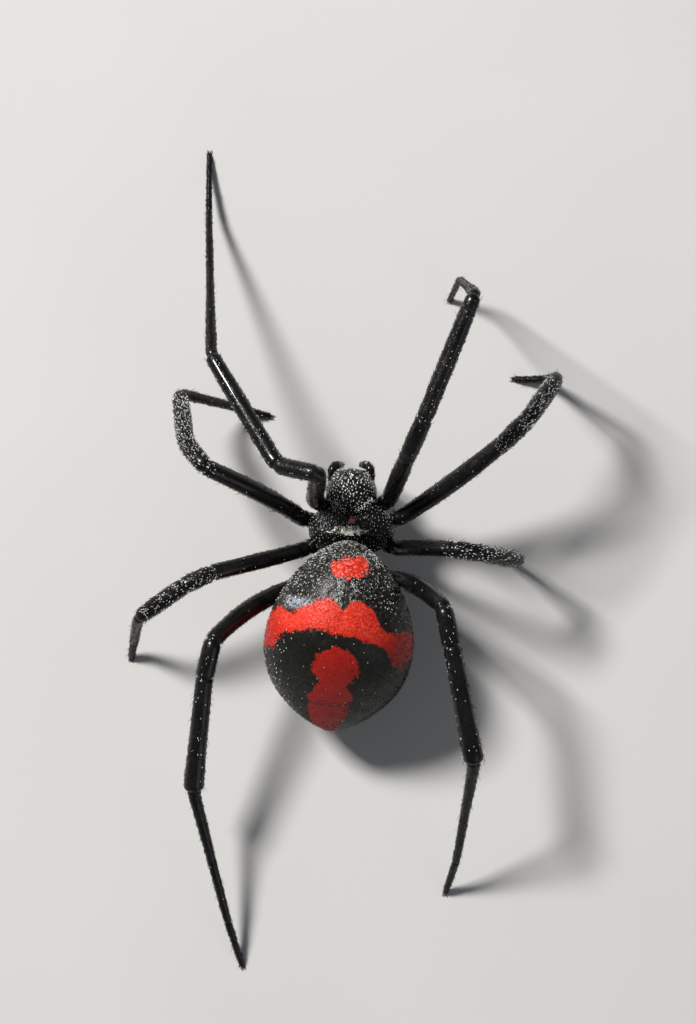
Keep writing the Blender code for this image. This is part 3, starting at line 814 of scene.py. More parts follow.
# %% Carapace
CAP_SHARE = 0.07
MOUND_HEIGHT = 0.05


def carapace_skin(part, angle):
    """The carapace with closed ends, its rim and the eyes' mounds."""
    inner = min(1.0, max(0.0, (part - CAP_SHARE) / (1.0 - 2.0 * CAP_SHARE)))
    place = 0.5 - 0.5 * math.cos(math.pi * inner)
    point = carapace_surface(place, angle)
    middle = Vector((BODY_X, point.y, MARGIN_Z + carapace_top(place) * 0.42))
    end = min(part, 1.0 - part)
    if end < CAP_SHARE:
        share = end / CAP_SHARE
        point = mix(middle, point, share)
        bulge = 0.07 * (1.0 - share ** 2)
        point.y += bulge if part > 0.5 else -bulge
        return point
    sine = math.sin(angle)
    outward = (point - middle).normalized()
    rim = 0.035 * bump_at(sine - 0.12, 0.10) * rounding(end - CAP_SHARE, 0.1)
    mound = 0.0
    for _, centre, _, radius in EYE_PLACES:
        mound = max(mound, bump_at((point - centre).length - radius * 0.8, radius * 0.7))
    return point + outward * (rim + MOUND_HEIGHT * mound)


CARAPACE_ROWS, CARAPACE_SIDES = 88, 96
carapace = rounded_shell(CARAPACE_ROWS, CARAPACE_SIDES, carapace_skin)
finish_piece("carapace_shell", carapace, head_shell, 1)
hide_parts("carapace")
print("carapace:", len(carapace.data.polygons), "faces")

# %% [markdown]
# A spider's eye is a clear lens set in a dark ring. A ball is flattened along the way it looks, and sunk in
# its mound, so that only the front of it shows. The two front middle eyes are black. The other six have a
# mirror behind the lens, which makes them pearly, and their pale grey is also a painted reflection of the
# light.

# %% Eyes
for name, centre, normal, radius in EYE_PLACES:
    bpy.ops.object.select_all(action="DESELECT")
    bpy.ops.mesh.primitive_uv_sphere_add(segments=32, ring_count=20, radius=radius * MM, location=(0, 0, 0))
    lens = bpy.context.object
    lens.scale = (1.0, 1.0, 0.86)
    lens.rotation_mode = "QUATERNION"
    lens.rotation_quaternion = normal.to_track_quat("Z", "Y")
    lens.location = at(centre + normal * radius * 0.25)
    bpy.ops.object.transform_apply(location=True, rotation=True, scale=True)
    finish_piece(name + "_lens", lens, eye_glass if "front_middle" in name else eye_pearl_and_glint)
    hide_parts(name)
print("eye radius:", EYE_RADIUS, "mm")

# %% [markdown]
# Each leg is seven pieces that hinge on soft skin: coxa, trochanter, femur, patella, tibia,
# metatarsus and tarsus. The lengths and directions are those of the solid model. The guide runs
# through all joints, with rounded bends, and its length along each joint tells where the straight
# tube needs a narrow collar.

# %% Leg sizes
SEGMENTS = {
    1: (7.20, 2.27, 6.27, 9.28, 3.02),
    2: (7.02, 1.85, 3.36, 4.28, 1.78),
    3: (5.15, 1.46, 2.82, 3.32, 1.53),
    4: (7.13, 1.85, 5.67, 7.09, 2.59),
}
COXAE = {
    1: (Vector((0.74, 0.10, 2.62)), Vector((1.76, 0.52, 3.00))),
    2: (Vector((0.84, -0.45, 2.56)), Vector((2.12, -0.40, 2.86))),
    3: (Vector((0.80, -1.02, 2.62)), Vector((2.05, -1.72, 2.90))),
    4: (Vector((0.52, -1.60, 2.46)), Vector((1.48, -3.16, 1.76))),
}
POSE = {
    ("left", 1): ((79, 80), (168, -30), (121, -17), (92, -41), (90, -20)),
    ("right", 1): ((68, 72), (66, 36), (68, 8), (119, -83), (245, -77)),
    ("left", 2): ((152, 41), (130, -36), (98, -45), (347, -49), (345, -29)),
    ("right", 2): ((36, 29), (44, 32), (54, -42), (182, -85), (179, -28)),
    ("left", 3): ((194, 26), (205, 6), (215, -20), (256, -68), (257, -56)),
    ("right", 3): ((0, 59), (352, -18), (349, -49), (169, -87), (169, -73)),
    ("left", 4): ((209.5, 36.2), (257, -13), (264, -17.6), (284, -22), (287, -28)),
    ("right", 4): ((335.8, 64.4), (282, -5), (281, -10), (261, -46), (253, -49)),
}
FEMUR_BOW = {
    ("left", 1): (0.0, 0.0),
    ("right", 1): (0.0, 0.0),
    ("left", 2): (-0.12, 0.25),
    ("right", 2): (-0.10, 0.25),
    ("left", 3): (0.02, 0.25),
    ("right", 3): (0.05, 0.15),
    ("left", 4): (-0.44, -0.24),
    ("right", 4): (0.36, 0.10),
}
THICKNESS = {
    1: ((0.41, 0.45, 0.40), (0.42, 0.45, 0.41), (0.41, 0.42, 0.38), (0.27, 0.18, 0.15), (0.15, 0.13, 0.11)),
    2: ((0.41, 0.46, 0.42), (0.43, 0.46, 0.43), (0.42, 0.44, 0.38), (0.27, 0.23, 0.20), (0.19, 0.165, 0.12)),
    3: ((0.38, 0.41, 0.40), (0.41, 0.44, 0.42), (0.42, 0.44, 0.38), (0.26, 0.24, 0.21), (0.20, 0.18, 0.13)),
    4: ((0.42, 0.46, 0.42), (0.43, 0.46, 0.44), (0.43, 0.46, 0.52), (0.30, 0.22, 0.19), (0.18, 0.16, 0.12)),
}
COXA_ROOT_RADIUS, COXA_END_RADIUS = 0.23, 0.39
BEND_RADIUS, BEND_SHARE = 0.55, 0.45
SKIN_SHARE = 0.98
print("longest leg:", round(sum(SEGMENTS[1]), 1), "mm")


# %% Leg guides
def unit(heading, rise):
    """A direction from a heading around +Z and a rise above level, both in degrees."""
    turn, lift = math.radians(heading), math.radians(rise)
    return Vector((math.cos(lift) * math.cos(turn), math.cos(lift) * math.sin(turn), math.sin(lift)))


def leg_joints(side, leg):
    """A leg's joints from the coxa's root to the tip, which is on the floor."""
    root, hip = (point.copy() for point in COXAE[leg])
    root.x = BODY_X + root.x * SIDES[side]
    hip.x = BODY_X + hip.x * SIDES[side]
    joints = [root, hip]
    for length, (heading, rise) in zip(SEGMENTS[leg][:4], POSE[(side, leg)]):
        joints.append(joints[-1] + unit(heading, rise) * length)
    length = SEGMENTS[leg][4]
    drop = min(joints[-1].z, length * 0.98)
    heading = POSE[(side, leg)][4][0]
    joints.append(joints[-1] + unit(heading, -math.degrees(math.asin(drop / length))) * length)
    return joints


def bowed(start, end, bow, along):
    """A point of the femur, which bows sideways and upward from its chord."""
    ahead = (end - start).normalized()
    across = ahead.cross(Vector((0.0, 0.0, 1.0))).normalized()
    up = across.cross(ahead)
    swell = math.sin(math.pi * along / (end - start).length)
    return start + ahead * along + (up * bow[1] - across * bow[0]) * swell


def leg_guide(side, leg):
    """Points along a leg with rounded bends, and how far along it each joint lies."""
    joints = leg_joints(side, leg)
    points, marks = [joints[0]], [0]
    for i in range(1, len(joints)):
        start, end = joints[i - 1], joints[i]
        length = (end - start).length
        reach = min(BEND_RADIUS, length * BEND_SHARE)
        bow = FEMUR_BOW[(side, leg)] if i == 2 else (0.0, 0.0)
        begin = 0.0 if i == 1 else reach
        finish = length if i == len(joints) - 1 else length - reach
        steps = max(4, int((finish - begin) / 0.25))
        points += [bowed(start, end, bow, mix(begin, finish, k / steps)) for k in range(1, steps + 1)]
        if i < len(joints) - 1:
            leaving = joints[i + 1] - end
            after = end + leaving.normalized() * min(BEND_RADIUS, leaving.length * BEND_SHARE)
            before = points[-1]
            for k in range(1, 13):
                t = k / 12
                points.append(before * (1 - t) ** 2 + end * 2 * t * (1 - t) + after * t * t)
                if k == 6:
                    marks.append(len(points) - 1)
    marks.append(len(points) - 1)
    reached = [0.0]
    for before, after in zip(points, points[1:]):
        reached.append(reached[-1] + (after - before).length)
    return points, [reached[mark] for mark in marks]


LEG_PATHS = {(side, leg): leg_guide(side, leg) for leg in SEGMENTS for side in SIDES}
print("joints of the left front leg at", [round(mark, 1) for mark in LEG_PATHS[("left", 1)][1]], "mm")


# %% Leg profile
COLLAR = (
    (-0.30, 1.00), (-0.16, 1.03), (-0.08, 1.01), (-0.04, 0.84), (0.04, 0.82), (0.09, 0.97), (0.20, 1.01),
)
RING_BEFORE_HIP = 0.38
RING_RADIUS, RING_SHOULDER_RADIUS = 0.325, 0.37
STATION_STEP = 0.55


def segment_at(marks, along):
    """Which of a leg's six segments a distance along it falls in."""
    return sum(along > mark for mark in marks[1:6])


def leg_radius(leg, marks, along):
    """Radius of a leg without its collars, at a distance along it."""
    i = segment_at(marks, along)
    part = (along - marks[i]) / (marks[i + 1] - marks[i])
    if i == 0:
        return mix(COXA_ROOT_RADIUS, COXA_END_RADIUS, rounding(part, 1.0)) * SKIN_SHARE
    return through(*THICKNESS[leg][i - 1], min(1.0, max(0.0, part))) * SKIN_SHARE


def leg_stations(leg, marks):
    """Distances and radii to draw a leg through, with a collar at each joint."""
    stations = [(0.0, COXA_ROOT_RADIUS * SKIN_SHARE)]
    for i in range(6):
        start, end = marks[i], marks[i + 1]
        begin = start + (0.32 if i else 0.15)
        finish = end - (0.42 if i < 5 else 0.16)
        steps = max(1, round((finish - begin) / STATION_STEP))
        for k in range(steps + 1):
            along = mix(begin, finish, k / steps)
            stations.append((along, leg_radius(leg, marks, along)))
        if i == 0:
            ring = end - RING_BEFORE_HIP
            stations[-1] = (ring - 0.06, RING_SHOULDER_RADIUS * SKIN_SHARE)
            stations.append((ring, RING_RADIUS * SKIN_SHARE))
            stations.append((ring + 0.05, RING_SHOULDER_RADIUS * SKIN_SHARE))
        if i < 5:
            here = 0.5 * (leg_radius(leg, marks, end - 0.01) + leg_radius(leg, marks, end + 0.01))
            for off, share in COLLAR:
                near = leg_radius(leg, marks, end + off)
                stations.append((end + off, mix(near, here, bump_at(off, 0.15)) * share))
    tip = marks[6]
    stations += [(tip - 0.08, 0.115), (tip - 0.02, 0.085), (tip, 0.035)]
    ordered = [stations[0]]
    for station in stations[1:]:
        if station[0] > ordered[-1][0] + 0.015:
            ordered.append(station)
    return ordered


print("stations on a front leg:", len(leg_stations(1, LEG_PATHS[("left", 1)][1])))

# %% Legs
def stand_clear(piece):
    """Lifts whatever dips below the floor up to it, so that feet rest flat."""
    for vertex in piece.data.vertices:
        vertex.co.z = max(vertex.co.z, 0.0)


LEG_PARTS = ("coxa", "femur", "patella", "tibia", "foot")
guides = {}
for (side, leg), (points, marks) in LEG_PATHS.items():
    name = "%s_%d" % (side, leg)
    guides[name] = guide_curve(points)
    skin = limb("leg_" + name, leg_stations(leg, marks), 14, guides[name], leg_shell)
    stand_clear(skin)
    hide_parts(*[part + "_" + name for part in LEG_PARTS])
print("legs:", len(guides))

# %% [markdown]
# Jaws and feelers are limbs too, only shorter, so they are drawn out and bent in the same way. The
# jaw narrows to its fang, which is a piece of its own, of hard red-brown horn.

# %% Jaws and feelers
CHELICERA_PATH = (
    Vector((0.37, 1.52, 3.04)),
    Vector((0.38, 1.66, 2.55)),
    Vector((0.36, 1.76, 2.10)),
    Vector((0.33, 1.74, 1.80)),
    Vector((0.27, 1.58, 1.56)),
    Vector((0.20, 1.38, 1.44)),
)
PALP_PATH = (
    Vector((0.44, 0.60, 2.66)),
    Vector((0.76, 0.92, 2.72)),
    Vector((0.90, 1.40, 2.94)),
    Vector((0.92, 1.88, 3.16)),
    Vector((0.80, 2.16, 3.10)),
    Vector((0.62, 2.24, 2.74)),
    Vector((0.50, 2.24, 2.26)),
    Vector((0.44, 2.20, 1.86)),
)


def curve_points(stations, count):
    """Points spread along a smooth curve through a few stations."""
    points = []
    spans = len(stations) - 1
    for i in range(count + 1):
        place = spans * i / count
        k = min(int(place), spans - 1)
        t = place - k
        a, b = stations[max(0, k - 1)], stations[k]
        c, d = stations[k + 1], stations[min(spans, k + 2)]
        points.append(0.5 * ((2 * b) + (c - a) * t + (2 * a - 5 * b + 4 * c - d) * t * t
                             + (3 * b - a - 3 * c + d) * t * t * t))
    return points


def path_length(points):
    """Length of a path."""
    return sum((after - before).length for before, after in zip(points, points[1:]))


def sided(path, side):
    """A path on one side of the body."""
    return [Vector((BODY_X + point.x * SIDES[side], point.y, point.z)) for point in path]


def jaw_radius(part):
    """Radius along a jaw and its fang, from root to tip."""
    stem = mix(0.29, 0.33, smooth(0.0, 0.25, part))
    stem = mix(stem, 0.20, smooth(0.35, 0.66, part))
    return mix(stem, 0.035, smooth(0.62, 1.0, part))


def palp_radius(part):
    """Radius along a feeler, from root to tip."""
    stem = mix(0.28, 0.20, smooth(0.0, 0.22, part))
    stem = mix(stem, 0.215, smooth(0.35, 0.58, part))
    stem = mix(stem, 0.18, smooth(0.62, 0.82, part))
    return mix(stem, 0.06, smooth(0.82, 1.0, part))


JAW_END = 0.64
PALP_JOINTS = (0.24, 0.46, 0.58, 0.74)


def jaw_stations(length, first, last, shrink):
    """Stations of a jaw between two shares of its length, rounded off at both ends."""
    stations = [(first * length, 0.05)]
    for k in range(13):
        part = mix(first, last, (k + 0.25) / 12.6)
        stations.append((part * length, jaw_radius(part) * shrink))
    stations.append((last * length + 0.02, 0.03))
    return stations


def palp_stations(length):
    """Stations of a feeler, with a collar at each joint."""
    stations = [(0.0, 0.10)]
    for k in range(1, 40):
        part = k / 40
        near = min(abs(part - joint) for joint in PALP_JOINTS)
        stations.append((part * length, palp_radius(part) * (1.0 - 0.22 * bump_at(near, 0.014)) * 0.96))
    stations.append((length, 0.02))
    return stations


jaw_guides, palp_guides = {}, {}
for side in SIDES:
    jaw_points = curve_points(sided(CHELICERA_PATH, side), 60)
    jaw_guides[side] = guide_curve(jaw_points)
    jaw_length = path_length(jaw_points)
    stations = jaw_stations(jaw_length, 0.0, JAW_END, 0.97)
    jaw = limb("jaw_" + side, stations, 16, jaw_guides[side], head_shell)
    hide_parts("chelicera_" + side)
    stations = jaw_stations(jaw_length, JAW_END - 0.05, 1.0, 0.72)
    limb("fang_" + side, stations, 12, jaw_guides[side], fang_horn)
    palp_points = curve_points(sided(PALP_PATH, side), 80)
    palp_guides[side] = guide_curve(palp_points)
    palp_length = path_length(palp_points)
    stations = palp_stations(palp_length)
    palp = limb("feeler_" + side, stations, 14, palp_guides[side], leg_shell)
    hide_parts("palp_" + side)
print("jaw with fang:", round(jaw_length, 2), "mm, feeler:", round(palp_length, 2), "mm")

# %% [markdown]
# Between the leg bases lies the sternum, a heart-shaped shield, with the lip before it. The stalk
# and the spinnerets are soft, so they get the abdomen's finish: the stalk is ringed, and the
# spinnerets are three pairs of blunt cones on a low round base.

# %% Sternum
STERNUM_FRONT = 0.36
STERNUM_REAR = -1.86
STERNUM_Z = 2.70
STERNUM_HALF_WIDTH = 0.56
STERNUM_HALF_HEIGHT = 0.34


def sternum_surface(part, angle):
    """A point of the shield."""
    place = 0.5 - 0.5 * math.cos(math.pi * part)
    closing = rounding(min(part, 1.0 - part), 0.09)
    front_end = rounding(1 - place, 0.2)
    width = STERNUM_HALF_WIDTH * mix(0.28, 1.0, smooth(0.0, 0.75, place)) * mix(0.3, 1.0, front_end)
    height = STERNUM_HALF_HEIGHT * mix(0.35, 1.0, rounding(place, 0.3)) * mix(0.35, 1.0, front_end)
    width *= 1.0 - 0.06 * (0.5 + 0.5 * math.cos(place * math.pi * 8.0))
    return Vector((
        BODY_X + width * closing * math.cos(angle),
        mix(STERNUM_REAR, STERNUM_FRONT, place),
        STERNUM_Z + height * closing * math.sin(angle),
    ))


sternum = rounded_shell(40, 40, sternum_surface)
finish_piece("breast_shield", sternum, head_shell, 1)
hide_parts("sternum")
print("sternum:", round(STERNUM_FRONT - STERNUM_REAR, 2), "mm long")

# %% Lip
LIP_MIDDLE = Vector((BODY_X, 0.56, 2.58))
LIP_SIZE = Vector((0.17, 0.22, 0.15))


def lip_surface(part, angle):
    """A point of the lip, a blunt lobe between the jaws' roots and the shield."""
    wide = math.sin(math.pi * part) ** 0.7
    off = Vector((wide * math.cos(angle), -math.cos(math.pi * part), wide * math.sin(angle)))
    return LIP_MIDDLE + Vector(off[k] * LIP_SIZE[k] for k in range(3))


lip = rounded_shell(20, 24, lip_surface)
finish_piece("lip", lip, head_shell, 1)
print("lip:", 2 * LIP_SIZE.x, "mm wide")

# %% Stalk
PEDICEL_RADIUS = 0.26
PEDICEL_PATH = (Vector((BODY_X, -2.00, 2.98)), Vector((0.13, -2.35, 3.04)), Vector((0.10, -2.90, 3.30)))
stalk_points = curve_points(PEDICEL_PATH, 30)
stalk_length = path_length(stalk_points)
stalk_stations = [(0.0, 0.20)]
for k in range(1, 24):
    ridge = 1.0 - 0.09 * (0.5 + 0.5 * math.cos(k * math.pi))
    stalk_stations.append((k / 24 * stalk_length, PEDICEL_RADIUS * ridge * 0.98))
stalk_stations.append((stalk_length, 0.20))
stalk = limb("stalk", stalk_stations, 16, guide_curve(stalk_points), abdomen_skin, 1)
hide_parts("pedicel")
print("stalk:", round(stalk_length, 2), "mm")

# %% Spinnerets
SPINNERETS_AT = 0.90
SPINNERETS_DROP = 1.36
SPINNERETS_LEAN = 0.95
BASE_PROFILE = (
    (0.0, 0.55), (0.06, 0.60), (0.2, 0.60), (0.34, 0.55), (0.44, 0.44), (0.50, 0.30), (0.52, 0.1),
)
CONE_LENGTH = 0.62
CONE_SPREAD = 0.27
CONE_PROFILE = (
    (0.0, 0.10), (0.03, 0.145), (0.30, 0.140), (0.34, 0.118), (0.40, 0.120), (0.54, 0.095), (0.60, 0.05),
    (0.62, 0.02),
)
MIDDLE_CONE_SIZE = 0.9

spinner_root = abdomen_centre(SPINNERETS_AT)
spinner_root.z -= SPINNERETS_DROP
spinner_aim = (BACK - Vector((0.0, 0.0, SPINNERETS_LEAN))).normalized()
spinner_across = spinner_aim.cross(Vector((0.0, 0.0, 1.0))).normalized()
spinner_up = spinner_across.cross(spinner_aim)
base_guide = guide_curve([spinner_root + spinner_aim * (k * 0.1 - 0.30) for k in range(9)])
base = limb("spinneret_base", BASE_PROFILE, 24, base_guide, abdomen_skin)
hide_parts("spinnerets")
for k in range(6):
    angle = math.radians(30 + 60 * k)
    lean = spinner_across * math.cos(angle) + spinner_up * math.sin(angle)
    start = spinner_root + spinner_aim * 0.02 + lean * CONE_SPREAD
    end = start + spinner_aim * CONE_LENGTH + lean * 0.10
    size = MIDDLE_CONE_SIZE if k % 3 == 1 else 1.0
    stations = [(x, radius * size) for x, radius in CONE_PROFILE]
    cone_guide = guide_curve([start, mix(start, end, 0.5), end, end + (end - start)])
    limb("spinneret_%d" % (k + 1), stations, 14, cone_guide, abdomen_skin)
print("spinnerets: 6, each", CONE_LENGTH, "mm long")

# %% [markdown]
# Bristles cover a real spider all over. Curves would be simpler, but the model has to be solid, so
# each bristle is a thin three-sided spike, bent once on its way, and thousands are joined in one mesh.
# The spikes' points are worked out together as arrays. Each spike's patch on the map OFBake
# lies where its root lies on the skin's own unwrap, so that a baked picture can hold its colour.

# %% Bristle maker
PATCH = 0.003
SPIKE_FACES = np.array([
    (0, 2, 1), (0, 1, 4), (0, 4, 3), (1, 2, 5), (1, 5, 4),
    (2, 0, 3), (2, 3, 5), (3, 4, 6), (4, 5, 6), (5, 3, 6),
])
SPIKE_MAP = np.array([(0, 0), (1, 0), (0.5, 0.2), (0, 1), (1, 1), (0.5, 0.8), (0.5, 0.5)]) * PATCH
BEND_AT = 0.45


def unit_rows(vectors):
    """Scales each row of an array to length 1."""
    return vectors / np.maximum(np.linalg.norm(vectors, axis=1, keepdims=True), 1e-12)


def bristles(name, roots, outward, lie, length, thick, rise, root_map, tint, material):
    """Joins many bent spikes; lengths and thicknesses are in metres and rise is in radians."""
    count = len(roots)
    lie = unit_rows(lie - outward * np.sum(lie * outward, axis=1, keepdims=True))
    side = np.cross(outward, lie)
    low = lie * np.cos(rise)[:, None] + outward * np.sin(rise)[:, None]
    high = lie * np.cos(rise * 0.35)[:, None] + outward * np.sin(rise * 0.35)[:, None]
    middle = roots + low * (length * BEND_AT)[:, None]
    points = np.zeros((count, 7, 3))
    for k in range(3):
        turn = 2.0 * math.pi * k / 3.0
        around = side * math.cos(turn) + np.cross(low, side) * math.sin(turn)
        points[:, k] = roots - low * (thick * 2.0)[:, None] + around * thick[:, None]
        points[:, 3 + k] = middle + around * (thick * 0.72)[:, None]
    points[:, 6] = middle + high * (length * (1.0 - BEND_AT))[:, None]
    faces = (np.arange(count)[:, None, None] * 7 + SPIKE_FACES[None]).reshape(-1, 3)
    mesh = bpy.data.meshes.new(name)
    mesh.from_pydata(points.reshape(-1, 3).tolist(), [], faces.tolist())
    patch = (root_map[:, None] * (1.0 - PATCH) + SPIKE_MAP[None]).reshape(-1, 2)
    mesh.uv_layers.new(name="OFBake").data.foreach_set("uv", patch[faces.ravel()].ravel())
    mesh.attributes.new("tint", "FLOAT", "POINT").data.foreach_set("value", np.repeat(tint, 7))
    piece = bpy.data.objects.new(name, mesh)
    bpy.context.scene.collection.objects.link(piece)
    return finish_piece(name, piece, material)


print("faces of one bristle:", len(SPIKE_FACES))

# %% [markdown]
# A leg's bristles are planted at random places along the straight leg and angles around it, and bent with
# the same guide. They lie towards the tip. The two densities give dark and pale ones for each millimetre of
# each segment: the femur is sparsely set, and patella and tibia more densely, most of all on the middle
# pairs of legs. The pale ones are painted glints: their white stands for light sparkling on the bristles. A
# few long dark ones stand up.

# %% Leg bristles
DARK_DENSITY = (40, 50, 80, 80, 110, 120)
PALE_GLINT_DENSITY = (12, 5, 150, 170, 8, 2)
PALE_GLINT_LEGS = {1: 0.08, 2: 1.0, 3: 0.6, 4: 0.06}
PALE_EARLY = 0.35
STANDING_SHARE = 0.04
FEELER_DARK, FEELER_PALE, FEELER_PALE_TIP = 50, 10, 14
JAW_DARK, JAW_PALE = 22, 5


def limb_bristles(name, length, radius_at, dark_at, pale_at, guide, seed, sizes):
    """Bristles along a straight limb, bent along its guide."""
    dice = np.random.default_rng(seed)
    steps = np.linspace(0.0, length, 400)
    weight = np.array([dark_at(step) + pale_at(step) for step in steps])
    reached = np.concatenate([[0.0], np.cumsum((weight[1:] + weight[:-1]) / 2 * np.diff(steps))])
    count = int(reached[-1])
    along = np.interp(dice.random(count) * reached[-1], reached, steps)
    angle = dice.random(count) * 2.0 * math.pi
    radius = np.array([radius_at(place) for place in along])
    outward = np.stack([np.zeros(count), np.cos(angle), np.sin(angle)], axis=1)
    roots = np.stack([along, radius * np.cos(angle), radius * np.sin(angle)], axis=1) * MM
    lie = np.stack([np.ones(count), *(dice.normal(0.0, 0.22, (2, count)))], axis=1)
    hair = np.exp(dice.normal(0.0, 0.22, count)) * sizes[0]
    hair = np.minimum(hair, length - along + 0.05)
    share = np.array([pale_at(place) / (pale_at(place) + dark_at(place)) for place in along])
    pale = dice.random(count) < share
    standing = (dice.random(count) < STANDING_SHARE) & ~pale
    hair *= np.where(pale, 0.34, np.where(standing, 1.9, 1.0))
    rise = np.radians(np.where(pale, 50.0, np.where(standing, 46.0, 17.0)) + dice.normal(0.0, 6.0, count))
    thick = sizes[1] * (0.8 + 0.5 * dice.random(count)) * np.where(pale, 1.6, 0.9)
    # pale bristles are painted glints
    tint = np.where(pale, 0.45 + 0.55 * dice.random(count), 0.01 * dice.random(count))
    root_map = np.stack([along / length, angle / (2.0 * math.pi)], axis=1)
    piece = bristles(
        name, roots, outward, lie, hair * MM, thick * MM, rise, root_map, tint, leg_hair,
    )
    bend_along(piece, guide)
    stand_clear(piece)
    return count


planted = 0
for number, ((side, leg), (points, marks)) in enumerate(LEG_PATHS.items()):
    planted += limb_bristles(
        "bristles_leg_%s_%d" % (side, leg), marks[6],
        lambda along: leg_radius(leg, marks, along),
        lambda along: DARK_DENSITY[segment_at(marks, along)],
        lambda along: PALE_GLINT_DENSITY[segment_at(marks, along + PALE_EARLY)] * PALE_GLINT_LEGS[leg],
        guides["%s_%d" % (side, leg)], 100 + number, (0.14, 0.011),
    )
for number, side in enumerate(SIDES):
    planted += limb_bristles(
        "bristles_feeler_" + side, palp_length, lambda along: palp_radius(along / palp_length) * 0.95,
        lambda along: FEELER_DARK, lambda along: FEELER_PALE + FEELER_PALE_TIP * (along / palp_length) ** 2,
        palp_guides[side], 200 + number, (0.15, 0.011),
    )
    planted += limb_bristles(
        "bristles_jaw_" + side, jaw_length * JAW_END, lambda along: jaw_radius(along / jaw_length) * 0.96,
        lambda along: JAW_DARK, lambda along: JAW_PALE, jaw_guides[side], 210 + number, (0.15, 0.009),
    )
print("bristles on the limbs:", planted)

# %% [markdown]
# On the rounded shells the bristles are scattered over the faces by their area, and the unwrap that
# the sphere came with tells each root's place on the map. The same faces can be numbered differently
# from one run to the next, so they are first put in order by their place on the unwrap: row by row of
# the shell's grid, then along each row. Seeded draws then plant the same bristles every time.
# They lie backward, and are palest and densest on the front of the abdomen.

# %% Scattering
def rows_of(items, name, width=3, kind=np.float64):
    """Reads one property of all items of a mesh at once, as rows of an array."""
    flat = np.empty(len(items) * width, kind)
    items.foreach_get(name, flat)
    return flat.reshape(-1, width)


SLANT = np.array((0.37, 1.0))
STEPS_PER_CELL = 6


def steady_order(places, grid):
    """How to order triangles and their corners by their places on the unwrap of a grid of cells."""
    middle = places.mean(axis=1)
    column, row = np.round(middle * np.array(grid) * STEPS_PER_CELL).T
    return np.lexsort((middle @ SLANT, column, row)), np.argsort(places @ SLANT, axis=1)


def scatter(piece, grid, count, dice, weight_of):
    """Random places on a piece: points, outward directions and places on its unwrap."""
    mesh = piece.data
    mesh.calc_loop_triangles()
    triangles = rows_of(mesh.loop_triangles, "vertices", kind=np.int64)
    loops = rows_of(mesh.loop_triangles, "loops", kind=np.int64)
    flat = rows_of(mesh.uv_layers[0].data, "uv", 2)
    order, turn = steady_order(flat[loops], grid)
    triangles, loops = (np.take_along_axis(rows, turn, axis=1)[order] for rows in (triangles, loops))
    normals = rows_of(mesh.vertices, "normal")
    corners = rows_of(mesh.vertices, "co")[triangles]
    one_edge, other_edge = corners[:, 1] - corners[:, 0], corners[:, 2] - corners[:, 0]
    area = np.linalg.norm(np.cross(one_edge, other_edge), axis=1)
    weight = area * weight_of(corners.mean(axis=1), normals[triangles].mean(axis=1))
    chosen = dice.choice(len(weight), count, p=weight / weight.sum())
    share = dice.dirichlet((1.0, 1.0, 1.0), count)[:, :, None]
    root = (corners[chosen] * share).sum(axis=1)
    outward = unit_rows((normals[triangles[chosen]] * share).sum(axis=1))
    return root, outward, (flat[loops[chosen]] * share).sum(axis=1)


def plan_of(roots):
    """How far across and back on the abdomen, in millimetres, and how high."""
    off = roots / MM - np.array(ABDOMEN_FRONT + SHIFT)
    return off @ np.array(ACROSS), off @ np.array(BACK), off[:, 2]


def ease(low, high, value):
    """The array form of smooth()."""
    part = np.clip((value - low) / (high - low), 0.0, 1.0)
    return part * part * (3.0 - 2.0 * part)


print("a quarter of the way through ease:", ease(0.0, 1.0, 0.25))

# %% Abdomen bristles
def abdomen_weight(roots, outward):
    """More bristles on the front third and on top."""
    across, back, height = plan_of(roots)
    return 0.75 + 1.3 * (1.0 - ease(1.6, 4.2, back)) + 0.3 * ease(0.0, 1.0, outward[:, 2])


dice = np.random.default_rng(7)
roots, outward, root_map = scatter(abdomen, (ABDOMEN_SIDES, ABDOMEN_ROWS), 14000, dice, abdomen_weight)
across, back, height = plan_of(roots)
lie = np.array(BACK) + np.array((0.0, 0.0, -0.25)) + dice.normal(0.0, 0.25, roots.shape)
frontness = (1.0 - ease(1.8, 4.0, back)) * ease(-4.0, -1.0, height)
flank = abs(across - LINE_ACROSS)
streak = (flank > 0.15) & (flank < 0.46) & (back > 1.7) & (back < 3.1) & (height > 0.0)
# rim: pale bristles along the left side from the band rearward, painted glints
rim = (across < -2.5) & (back > 3.9) & (back < 7.5) & (height > -2.5)
corner = (abs(across - CORNER_ACROSS) < 0.55) & (abs(back - 3.1) < 0.24) & (height > 0.0)
chance = 0.03 + 0.22 * frontness + 0.26 * (back < 1.0) + 0.40 * streak + 0.36 * corner + 0.10 * rim
chance = chance + 0.3 * (streak & (across < 0.0))
chance = np.where((flank < 0.15) & (back > 1.8) & (back < 3.4), 0.0, chance)
pale = dice.random(len(roots)) < chance
tint = np.where(pale, 0.40 + 0.60 * dice.random(len(roots)), 0.01 * dice.random(len(roots)))
hair = 0.10 * np.exp(dice.normal(0.0, 0.2, len(roots))) * np.where(pale, 0.6, 1.0)
thick = np.where(pale, 0.014 + 0.010 * dice.random(len(roots)), 0.009)
bristles(
    "bristles_abdomen", roots, outward, lie, hair * MM, thick * MM,
    np.radians(32.0 + dice.normal(0.0, 8.0, len(roots))), root_map, tint, body_hair,
)
print("bristles on the abdomen:", len(roots))

# %% [markdown]
# On the head the pale bristles are painted glints, white where light sparkles on the shell, and they stand
# in patterns where the light catches it: on the dome, in tufts by the eyes, along the two grooves of the
# neck with a spot at the left, and in a band behind the pit, over the painted reflection. Chance alone would
# let them clump and overlap, so each is kept only where no other stands too near, and the gap is narrowest
# within the patterns.

